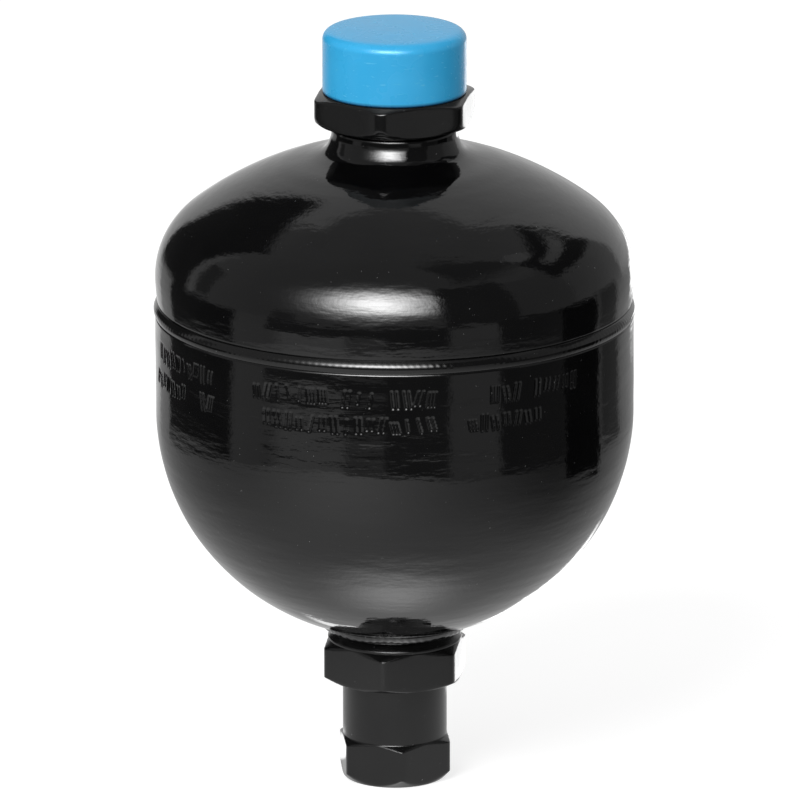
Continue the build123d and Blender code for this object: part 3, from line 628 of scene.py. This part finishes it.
leg_r = PORT_BOSS_R + PORT_WELD_LEG
leg_z = BOWL_Z - BOWL_DEPTH * math.sqrt(1 - (leg_r / SHELL_R) ** 2)
weld_root = ellipse_arc(SHELL_R, BOWL_DEPTH, PORT_HOLE_R, steps=400)
weld_root = weld_root[weld_root[:, 0] <= leg_r][::4]
s = np.linspace(0, 1, WELD_ROWS)[1:-1]
chord = np.array([PORT_WELD_R - leg_r, BOSS_TOP_Z - leg_z])
bulge = np.array([-chord[1], chord[0]]) / np.hypot(*chord)
bulge = bulge if bulge[0] > 0 else -bulge
weld_face = (np.array([leg_r, leg_z]) + s[:, None] * chord
             + PORT_WELD_CROWN * np.sin(math.pi * s)[:, None] * bulge)
weld_outline = np.concatenate([
    [[PORT_WELD_R, BOSS_TOP_Z], [PORT_HOLE_R, BOSS_TOP_Z]], weld_root, [[leg_r, leg_z]], weld_face])


def port_weld_radius(r, z, a):
    """Ripples: depth sin^2 of n a + drift sin(d a) + slope z, fading to both toes of the weld."""
    face = (np.arange(len(r)) >= len(weld_outline) - len(weld_face))[:, None]
    across_face = np.sin(math.pi * np.clip((r - PORT_WELD_R) / (leg_r - PORT_WELD_R), 0, 1))
    place = PORT_RIPPLE_COUNT * a + PORT_RIPPLE_DRIFT * np.sin(PORT_DRIFT_TURNS * a) + PORT_RIPPLE_SLOPE * z
    return r - face * across_face * PORT_RIPPLE_DEPTH * np.sin(place) ** 2


add_piece("port_bead", turned_points(weld_outline, even_angles(PORT_WELD_COLUMNS), port_weld_radius),
          bead_paint, "vessel", "port_weld")

# ---------------------------------------------------------------- port body
HEXAGON_END = 0.05             # a hexagon stops this far short of the round shoulder next to it

port_outline = ring_outline([
    (SEAL_POCKET_R, PORT_Z), (PORT_FLATS / 2, PORT_Z), (PORT_CORNER_R, PORT_Z + PORT_CHAMFER_BOTTOM),
    (PORT_CORNER_R, BOSS_Z - PORT_CHAMFER_TOP), (PORT_FLATS / 2, BOSS_Z), (PORT_BOSS_R, BOSS_Z + HEXAGON_END),
    (PORT_BOSS_R, BOSS_Z + PORT_RIM), (PORT_WELD_R, BOSS_TOP_Z), (PORT_NECK_R, BOSS_TOP_Z),
    (PORT_NECK_R, PORT_END_Z), (SEAT_R, PORT_END_Z), (THROAT_R, PORT_END_Z - (SEAT_R - THROAT_R)),
    (THROAT_R, GUIDE_TOP_Z), (PORT_BORE_R, GUIDE_TOP_Z), (PORT_BORE_R, PORT_Z + SEAL_POCKET_DEPTH),
    (SEAL_POCKET_R, PORT_Z + SEAL_POCKET_DEPTH)], radius=0.2)
port_hex_rule = cut_to_hexagon(PORT_FLATS, PORT_TURN, PORT_Z, BOSS_Z - HEXAGON_END)
add_piece("port_hexagon", turned_points(port_outline, hexagon_angles(PORT_TURN), port_hex_rule),
          satin_paint, "vessel", "port_body")

# ---------------------------------------------------------------- port adapter
THREAD_PITCH, FEMALE_CUT, MALE_CUT = 1.5, 0.78, 0.85
RINGS_PER_TURN = 10            # rings of points in one pitch of a thread
ON_BORE, ON_STEM = 0.02, 0.01  # points this near a thread's radius belong to it
FEMALE_ENDS = (THREAD_MOUTH + 0.3, ADAPTER_THREAD_END - 1.2)
ADAPTER_RING_R = 10.6          # the end face's inner ring, outside the thread's mouth
adapter_hex_rule = cut_to_hexagon(ADAPTER_FLATS, ADAPTER_TURN, 0, ADAPTER_HEX - HEXAGON_END)


def adapter_radius(r, z, a):
    """The hexagon's rule outside, and the female thread cut outwards from its bore."""
    in_bore = (r < ADAPTER_THREAD_R + ON_BORE) & (r > ADAPTER_THREAD_R - ON_BORE)
    cut = FEMALE_CUT * thread_cut(z, a, THREAD_PITCH, *FEMALE_ENDS)
    return adapter_hex_rule(r, z, a) + in_bore * cut


bore_z = np.arange(ADAPTER_THREAD_END - 0.1, THREAD_MOUTH + 0.1, -THREAD_PITCH / RINGS_PER_TURN)
drill_tip_z = ADAPTER_THREAD_END + ADAPTER_THREAD_R - FLOW_BORE_R
adapter_shape = eased([
    (ADAPTER_RING_R, 0), (ADAPTER_FACE_R, 0), (ADAPTER_CORNER_R, ADAPTER_CHAMFER),
    (ADAPTER_CORNER_R, ADAPTER_HEX - ADAPTER_SHOULDER), (ADAPTER_BODY_R, ADAPTER_HEX),
    (ADAPTER_BODY_R, PORT_Z), (SPIGOT_R, PORT_Z), (SPIGOT_R, SPIGOT_Z), (RELIEF_R, SPIGOT_Z),
    (RELIEF_R, SPIGOT_Z - RELIEF_DEPTH), (FLOW_BORE_R, SPIGOT_Z - RELIEF_DEPTH),
    (FLOW_BORE_R, drill_tip_z), (ADAPTER_THREAD_R, ADAPTER_THREAD_END)], radius=0.25)
bore = np.stack([np.full(bore_z.shape, ADAPTER_THREAD_R), bore_z], 1)
mouth = np.array([[ADAPTER_THREAD_R, THREAD_MOUTH], [ADAPTER_THREAD_R + THREAD_MOUTH, 0]])
adapter_outline = np.concatenate([divided(adapter_shape, longest=0.8), bore, mouth])
add_piece("port_adapter_hexagon",
          turned_points(adapter_outline, hexagon_angles(ADAPTER_TURN), adapter_radius),
          satin_paint, "vessel", "port_adapter")

# ---------------------------------------------------------------- lock nut
nut_cone_z = NECK_Z + NUT_BAND_HEIGHT
nut_outline = ring_outline([
    (STEM_R + FIT_GAP, NECK_Z), (NUT_BAND_R, NECK_Z), (NUT_BAND_R, nut_cone_z),
    *[(r, nut_cone_z + rise) for r, rise in NUT_UNDERSIDE],
    (NUT_CORNER_R, NUT_TOP_Z - NUT_TOP_CHAMFER), (NUT_TOP_R, NUT_TOP_Z),
    (STEM_R + FIT_GAP, NUT_TOP_Z)], radius=0.4)
nut_hex_rule = cut_to_hexagon(NUT_FLATS, NUT_TURN, nut_cone_z - 0.1, NUT_TOP_Z)
add_piece("gas_lock_nut", turned_points(nut_outline, hexagon_angles(NUT_TURN), nut_hex_rule),
          satin_paint, "vessel", "lock_nut")

# ---------------------------------------------------------------- gas stem
STEM_COLUMNS = 180
VALVE_PITCH, VALVE_CUT, VALVE_RING_STEP = 1.0, 0.5, 0.12
NUT_THREAD_ENDS = (NUT_TOP_Z - 2, SHOULDER_Z - 0.5)
VALVE_THREAD_ENDS = (SHOULDER_Z + 0.7, STEM_TOP_Z - 0.7)
flange_z = STEM_SEAT_Z - STEM_FLANGE_HEIGHT
groove_z = NECK_Z - GROOVE_BELOW_NECK
core_z = STEM_TOP_Z - CORE_DEPTH
chamber_z = core_z - CHAMBER_DEPTH
shank_r = NECK_BORE_R - FIT_GAP
stem_shape = divided(eased([
    (GAS_BORE_R, flange_z), (STEM_FLANGE_R, flange_z), (STEM_FLANGE_R, STEM_SEAT_Z), (shank_r, STEM_SEAT_Z),
    (shank_r, groove_z), (shank_r - GROOVE_DEPTH, groove_z),
    (shank_r - GROOVE_DEPTH, groove_z + GROOVE_WIDTH), (shank_r, groove_z + GROOVE_WIDTH),
    (shank_r, NECK_Z), (STEM_R, NECK_Z), (STEM_R, NUT_TOP_Z - 0.5)],
    radius=0.15), longest=1.0)
thread_z = np.arange(NUT_TOP_Z - 0.4, SHOULDER_Z - 0.3, THREAD_PITCH / RINGS_PER_TURN)
valve_z = np.arange(SHOULDER_Z + 0.3, STEM_TOP_Z - 0.7, VALVE_RING_STEP)
stem_outline = np.concatenate([
    stem_shape,
    np.stack([np.full(thread_z.shape, STEM_R), thread_z], 1),
    [[STEM_R - STEM_SHOULDER_EDGE, SHOULDER_Z], [VALVE_THREAD_R + 0.1, SHOULDER_Z]],
    np.stack([np.full(valve_z.shape, VALVE_THREAD_R), valve_z], 1),
    divided(eased([
        (VALVE_THREAD_R, STEM_TOP_Z - STEM_END_CHAMFER), (VALVE_THREAD_R - STEM_END_CHAMFER, STEM_TOP_Z),
        (CORE_R, STEM_TOP_Z), (CORE_R, core_z), (CHAMBER_R, core_z), (CHAMBER_R, chamber_z),
        (GAS_BORE_R, chamber_z)], radius=0.15), longest=1.0),
])


def stem_radius(r, z, a):
    """Two male threads cut inwards: the nut's above the lock nut, and the seal cap's at the top."""
    big = (np.abs(r - STEM_R) < ON_STEM) & (z > NUT_TOP_Z - 0.45)
    small = np.abs(r - VALVE_THREAD_R) < ON_STEM
    cut = big * MALE_CUT * thread_cut(z, a, THREAD_PITCH, *NUT_THREAD_ENDS)
    return r - cut - small * VALVE_CUT * thread_cut(z, a, VALVE_PITCH, *VALVE_THREAD_ENDS)


add_piece("gas_valve_stem", turned_points(stem_outline, even_angles(STEM_COLUMNS), stem_radius),
          turned_steel, "vessel", "gas_stem")

# ---------------------------------------------------------------- seal cap
skirt_z = SHOULDER_Z + SEAL_SKIRT_GAP
seal_roof_z = STEM_TOP_Z + SEAL_GASKET_THICKNESS
seal_top_z = seal_roof_z + SEAL_CAP_ROOF
seal_corner_r = SEAL_CAP_FLATS / math.sqrt(3)
seal_bore_r = VALVE_THREAD_R + FIT_GAP
seal_outline = divided(eased([
    (0, seal_top_z), (SEAL_CAP_FLATS / 2, seal_top_z), (seal_corner_r, seal_top_z - SEAL_CAP_CHAMFER),
    (seal_corner_r, skirt_z + SEAL_CAP_CHAMFER), (SEAL_CAP_FLATS / 2, skirt_z), (seal_bore_r, skirt_z),
    (seal_bore_r, seal_roof_z), (0, seal_roof_z)], radius=0.2), longest=0.7)
seal_hex_rule = cut_to_hexagon(SEAL_CAP_FLATS, 0, skirt_z, seal_top_z)
add_piece("valve_seal_cap", turned_points(seal_outline, hexagon_angles(0), seal_hex_rule),
          brass, "vessel", "seal_cap", loop_rows=False)

# ---------------------------------------------------------------- protective cap
# Its outline runs from the middle of the crowned top, down the skirt and back inside.
CAP_COLUMNS = 560              # a multiple of RIB_COUNT, so that the ribs are alike
CAP_EDGE_LIFT, CAP_EDGE_TOP = 0.1, 86    # the edge's arc is lifted by this, and starts at this angle
RIB_EDGE, ON_ROOF = 0.25, 0.3  # softness of a rib's sides; points this near the roof belong to it
crown_arc_r = (CAP_R**2 + CAP_CROWN**2) / (2 * CAP_CROWN)
cap_top_z = height("protective_cap", 1)
cap_roof_z = cap_top_z - CAP_WALL
cap_inner_r = CAP_R - CAP_WALL
sleeve_r = STEM_R + SLEEVE_GAP
sleeve_outer_r = sleeve_r + SLEEVE_WALL
sleeve_z, rib_z = NUT_TOP_Z + SLEEVE_LIFT, NUT_TOP_Z + RIB_LIFT
top_r = np.linspace(0, CAP_R - CAP_EDGE_R, 12)
top_z = cap_top_z - crown_arc_r + np.sqrt(crown_arc_r**2 - top_r**2)
edge_z = cap_top_z - CAP_CROWN - CAP_EDGE_R + CAP_EDGE_LIFT
cap_outline = np.concatenate([
    np.stack([top_r, top_z], 1),
    arc((CAP_R - CAP_EDGE_R, edge_z), CAP_EDGE_R, CAP_EDGE_TOP, 0, steps=14),
    divided(eased([
        (CAP_R, edge_z - CAP_EDGE_LIFT), (CAP_R, NUT_TOP_Z + CAP_FOOT_EDGE),
        (CAP_R - CAP_FOOT_EDGE, NUT_TOP_Z), (cap_inner_r, NUT_TOP_Z), (cap_inner_r, cap_roof_z),
        (sleeve_outer_r, cap_roof_z), (sleeve_outer_r, sleeve_z), (sleeve_r, sleeve_z),
        (sleeve_r, cap_roof_z), (0, cap_roof_z)],
        radius=0.15), longest=0.6),
])
cap_angles = even_angles(CAP_COLUMNS)
cap_points = turned_points(cap_outline, cap_angles)

# The ribs are the roof's inner face pulled down between skirt and sleeve, in RIB_COUNT places.
half_sector = 180 / RIB_COUNT
from_rib = np.radians((np.degrees(cap_angles) + half_sector + 90) % (2 * half_sector) - half_sector)
outline_r, outline_z = cap_outline[:, 0][:, None], cap_outline[:, 1][:, None]
on_rib = 1 - soft_step(np.abs(outline_r * np.sin(from_rib)[None, :]), RIB_WIDTH / 2, RIB_EDGE)
between = (outline_r > sleeve_outer_r + 0.02) & (outline_r < cap_inner_r - 0.02)
under_roof = between & (np.abs(outline_z - cap_roof_z) < ON_ROOF)
cap_points[:, :, 2] += np.where(under_roof, (rib_z - cap_roof_z) * on_rib, 0)
add_piece("blue_protective_cap", cap_points,
          blue_plastic, "cap_body", "protective_cap", loop_rows=False)

# ---------------------------------------------------------------- camera, in metres and degrees
CAMERA_DISTANCE, CAMERA_RISE, CAMERA_ROLL = 2.889, 15.5, 0.03
CAMERA_LENS, CAMERA_SENSOR = 540, 36         # millimetres
CAMERA_AIM = Vector((0.00128, 0, 0.0940))


def add_camera():
    """A long lens in front of the object (-Y) that looks a little down on it."""
    data = bpy.data.cameras.new("camera")
    data.lens, data.sensor_width = CAMERA_LENS, CAMERA_SENSOR
    data.clip_start, data.clip_end = 0.1, 50
    camera = bpy.data.objects.new("camera", data)
    bpy.context.scene.collection.objects.link(camera)
    rise = math.radians(CAMERA_RISE)
    back = Vector((0, -math.cos(rise), math.sin(rise)))
    turn = (-back).to_track_quat("-Z", "Y").to_matrix().to_4x4()
    turn = turn @ Matrix.Rotation(math.radians(-CAMERA_ROLL), 4, "Z")
    camera.matrix_world = Matrix.Translation(CAMERA_AIM + back * CAMERA_DISTANCE) @ turn
    bpy.context.scene.camera = camera


add_camera()

# ---------------------------------------------------------------- studio, in metres and degrees
# The gloss black skin mirrors the studio, so its brightness is set by direction: azimuth is 0 on
# the camera's side (-Y) and grows towards +X, and elevation is 0 at the horizon.
EYE_HEIGHT = 0.1               # directions are taken from this height on the axis
TENT_RADIUS = 2.6
TABLE_DROP = 0.00005           # the table lies this far below the object's foot
WALL_LEVEL, TABLE_LEVEL, TABLE_NEAR_GAIN = 0.32, 0.45, 0.27
TABLE_FAR_EDGE, TABLE_NEAR_SIDE = (-17, 3), (-38, 36)    # elevation and softness
TABLE_BRIGHT, TABLE_SHADED = (-22, 38, 0.6), (78, 28, 0.28)    # azimuth, spread and strength
LAMP_LEVEL, LAMP_AZIMUTH, LAMP_ELEVATION = 25.0, -9, 29
LAMP_SPREAD, LAMP_RISE = 21.5, 12.5
LAMP_CUT = (21, 8)             # the curtain cuts the lamp off: azimuth and softness
# Panels and curtains: left, right, low, high, softness of the edge (degrees) and level.
TENT_PANELS = [
    (40, 100, 52, 80, 12, 0.13),     # dim part of the ceiling
    (139, 221, -14, 64, 5, 0.68),    # pale wall behind
    (-221, -139, -14, 64, 5, 0.68),
    (24, 62, -17, 47, 5, 0.10),      # curtain right of the lamp
    (62, 96, -17, 40, 6, 0.25),
    (-155, -118, -15, 54, 4, 0.035),  # dark curtain at the left
    (-116, -112, -12, 42, 2, 0.48),
    (-110, -99, 0, 27, 4, 0.13),
    (-60, -48, -16, 8, 4, 0.15),     # lamp stand
    (-31, -15, -14, -4, 5, 0.4),
    (-4, 6, -15, -2, 4, 0.22),
    (93, 138, 27, 51, 4, 0.045),     # equipment at the right
    (104, 136, 38, 44, 3, 0.42),
    (98, 117, 51, 59, 3, 0.5),
    # What stands on the far edge of the table.
    (132, 220, -17, -5, 6, 0.42),
    (-220, -146, -17, -5, 8, 0.85),
    (-146, -130, -17, -3, 5, 0.48),
    (-131, -80, -17, -3, 4, 0.04),
    (-79, -56, -17, -3, 6, 0.38),
    (-56, -21, -17, -5, 9, 0.74),
    (-21, -4, -17, -3, 5, 0.32),
    (-4, 25, -17, -3, 4, 0.1),
    (25, 49, -17, -4, 4, 0.38),
    (50, 84, -18, -3, 3, 0.08),
    (84, 110, -24, -3, 3, 0.012),
    (112, 129, -17, -3, 4, 0.12),
    (-62, 24, -12.5, -3, 2.5, 0.1),
    # Sheets of white paper that light the far flats of the hexagons.
    (151, 167, -12.5, -6.5, 2, 2.8),
    (144, 162, -52, -32, 4, 2.8),
    (-148, -126, -80, -67, 4, 2.6),
]


def panel_mask(azimuth, elevation, left, right, low, high, soft):
    """1 inside a panel between two azimuths and two elevations, with soft edges."""
    across = soft_step(azimuth, left, soft) * (1 - soft_step(azimuth, right, soft))
    return across * soft_step(elevation, low, soft) * (1 - soft_step(elevation, high, soft))


def bell(x, middle, width):
    """exp(-((x - middle) / width)^2), a smooth hump of height 1."""
    return np.exp(-((x - middle) / width) ** 2)


def studio_level(azimuth, elevation):
    """How bright the studio is in a direction.

    Grey walls stand round a white table whose near side is paler.  Each panel mixes its own
    level in by its mask, and the soft lamp adds exp(-(da / spread)^2 - (de / rise)^2).
    """
    on_table = 1 - soft_step(elevation, *TABLE_FAR_EDGE)
    near = 1 - soft_step(elevation, *TABLE_NEAR_SIDE)
    bright_at, bright_width, bright_gain = TABLE_BRIGHT
    shade_at, shade_width, shade_gain = TABLE_SHADED
    bright = bell(azimuth, bright_at, bright_width) * (1 - near)
    shaded = bell(azimuth, shade_at, shade_width) * (1 - near)
    table_level = TABLE_LEVEL + bright_gain * bright - shade_gain * shaded + TABLE_NEAR_GAIN * near
    level = WALL_LEVEL + (table_level - WALL_LEVEL) * on_table
    for left, right, low, high, soft, value in TENT_PANELS:
        mask = panel_mask(azimuth, elevation, left, right, low, high, soft)
        level = level + (value - level) * mask
    spot = bell(azimuth, LAMP_AZIMUTH, LAMP_SPREAD) * bell(elevation, LAMP_ELEVATION, LAMP_RISE)
    return level + LAMP_LEVEL * spot * (1 - soft_step(azimuth, *LAMP_CUT))


def studio_surface(name, low, high, distance_at):
    """A sheet right round the eye point, about a point per degree, with its level on each point.

    Its point at azimuth a and elevation e lies distance_at(e) away from the eye point.
    """
    rings = round(high - low) + 1
    azimuth, elevation = np.meshgrid(np.linspace(-180, 180, 361), np.linspace(low, high, rings))
    a, e, distance = np.radians(azimuth), np.radians(elevation), distance_at(elevation)
    points = np.stack([
        distance * np.cos(e) * np.sin(a),
        -distance * np.cos(e) * np.cos(a),
        EYE_HEIGHT + distance * np.sin(e),
    ], 2)
    rows, cols, _ = points.shape
    i, j = np.meshgrid(np.arange(rows - 1), np.arange(cols - 1), indexing="ij")
    quads = np.stack([i * cols + j, i * cols + j + 1, (i + 1) * cols + j + 1, (i + 1) * cols + j], 2)
    mesh = bpy.data.meshes.new(name)
    mesh.from_pydata(points.reshape(-1, 3), [], quads.reshape(-1, 4).tolist())
    level = mesh.attributes.new("level", "FLOAT", "POINT")
    level.data.foreach_set("value", studio_level(azimuth, elevation).astype(np.float32).ravel())
    sheet = bpy.data.objects.new(name, mesh)
    bpy.context.scene.collection.objects.link(sheet)
    return sheet


def bare_material(name):
    """A material with nothing but its output; gives the material, its tree and the surface socket."""
    material = bpy.data.materials.new(name)
    material.use_nodes = True
    tree = material.node_tree
    tree.nodes.clear()
    return material, tree, tree.nodes.new("ShaderNodeOutputMaterial").inputs["Surface"]


def stored_level(tree):
    return add_node(tree, "Attribute", attribute_name="level").outputs["Fac"]


def glow(tree, strength):
    return add_node(tree, "Emission", {"Strength": strength}).outputs[0]


TABLE_GLOW, TABLE_GREY = 0.74, 0.6     # glow for the camera only, and the matt white that holds the shadow
UNDER_LEVEL, UNDER_POWER = 2.2, 30.0   # brighter where a mirrored ray meets the table squarely


def add_tent():
    """Walls and ceiling, for rays from mirrors and glass only: no light, shadow or camera ray."""
    tent = studio_surface("tent", -2, 90, lambda elevation: np.full(elevation.shape, TENT_RADIUS))
    tent.visible_camera = tent.visible_diffuse = tent.visible_shadow = False
    material, tree, surface = bare_material("tent_cloth")
    tree.links.new(glow(tree, stored_level(tree)), surface)
    tent.data.materials.append(material)


def add_table():
    """A white table: plain with a shadow to the camera, and with its own levels in mirrors."""
    table = studio_surface("table", -89.9, -1, lambda elevation: (
        (EYE_HEIGHT + TABLE_DROP) / np.sin(np.radians(-elevation))))
    material, tree, surface = bare_material("white_table")
    ray = add_node(tree, "LightPath").outputs
    slant = add_node(tree, "LayerWeight", {"Blend": 0.5}).outputs["Facing"]
    squareness = math_node(tree, "POWER", math_node(tree, "SUBTRACT", 1.0, slant), UNDER_POWER)
    under = math_node(tree, "MULTIPLY", squareness, UNDER_LEVEL)
    mirrored = glow(tree, math_node(tree, "ADD", stored_level(tree), under))
    seen = glow(tree, math_node(tree, "MULTIPLY", ray["Is Camera Ray"], TABLE_GLOW))
    matt = add_node(tree, "BsdfDiffuse", {"Color": (TABLE_GREY, TABLE_GREY, TABLE_GREY, 1)}).outputs[0]
    lit = add_node(tree, "AddShader", {0: seen, 1: matt}).outputs[0]
    tree.links.new(add_node(tree, "MixShader", {0: ray["Is Glossy Ray"], 1: lit, 2: mirrored}).outputs[0],
                   surface)
    table.data.materials.append(material)


FILL_LEVEL = 0.42              # what the white surround gives as light; seen directly it is 1


def add_surround():
    """A white world, at full strength for the camera, mirrors and glass and dimmer as light."""
    world = bpy.data.worlds.new("studio")
    bpy.context.scene.world = world
    world.use_nodes = True
    tree = world.node_tree
    ray = add_node(tree, "LightPath").outputs
    shown = math_node(tree, "MAXIMUM", ray["Is Camera Ray"], ray["Is Glossy Ray"])
    shown = math_node(tree, "MAXIMUM", shown, ray["Is Transmission Ray"])
    strength = math_node(tree, "MULTIPLY_ADD", shown, 1 - FILL_LEVEL, FILL_LEVEL)
    background = tree.nodes["Background"]
    tree.links.new(strength, background.inputs["Strength"])
    background.inputs["Color"].default_value = (1, 1, 1, 1)


KEY_DISTANCE, KEY_SIZE, KEY_POWER = 1.6, 0.9, 15
KEY_AZIMUTH, KEY_ELEVATION = -28, 38


def add_key_lamp():
    """The lamp that lights the cap and casts the soft shadow; mirrors don't show it."""
    data = bpy.data.lights.new("soft_lamp", "AREA")
    data.shape, data.size, data.energy = "DISK", KEY_SIZE, KEY_POWER
    lamp = bpy.data.objects.new("soft_lamp", data)
    bpy.context.scene.collection.objects.link(lamp)
    a, e = math.radians(KEY_AZIMUTH), math.radians(KEY_ELEVATION)
    towards = Vector((math.sin(a) * math.cos(e), -math.cos(a) * math.cos(e), math.sin(e)))
    lamp.location = Vector((0, 0, EYE_HEIGHT)) + towards * KEY_DISTANCE
    lamp.rotation_euler = (-towards).to_track_quat("-Z", "Y").to_euler()
    lamp.visible_glossy = lamp.visible_camera = False


add_tent()
add_table()
add_surround()
add_key_lamp()
bpy.context.scene.view_settings.view_transform = "Standard"

# ---------------------------------------------------------------- finishes of the pieces from the CAD
FINISHES = [
    (turned_steel, ["poppet_guide", "poppet", "poppet_stop_nut"]),
    (spring_steel, ["poppet_spring", "valve_spring"]),
    (brass, ["valve_core", "valve_pin"]),
    (seal_rubber, ["adapter_seal", "stem_o_ring", "valve_gasket", "valve_pin_seal", "seal_cap_gasket"]),
    (bladder_rubber, ["bladder"]),
]
for material, names in FINISHES:
    for name in names:
        nodes[name].data.materials.clear()
        nodes[name].data.materials.append(material)

bpy.context.view_layer.update()
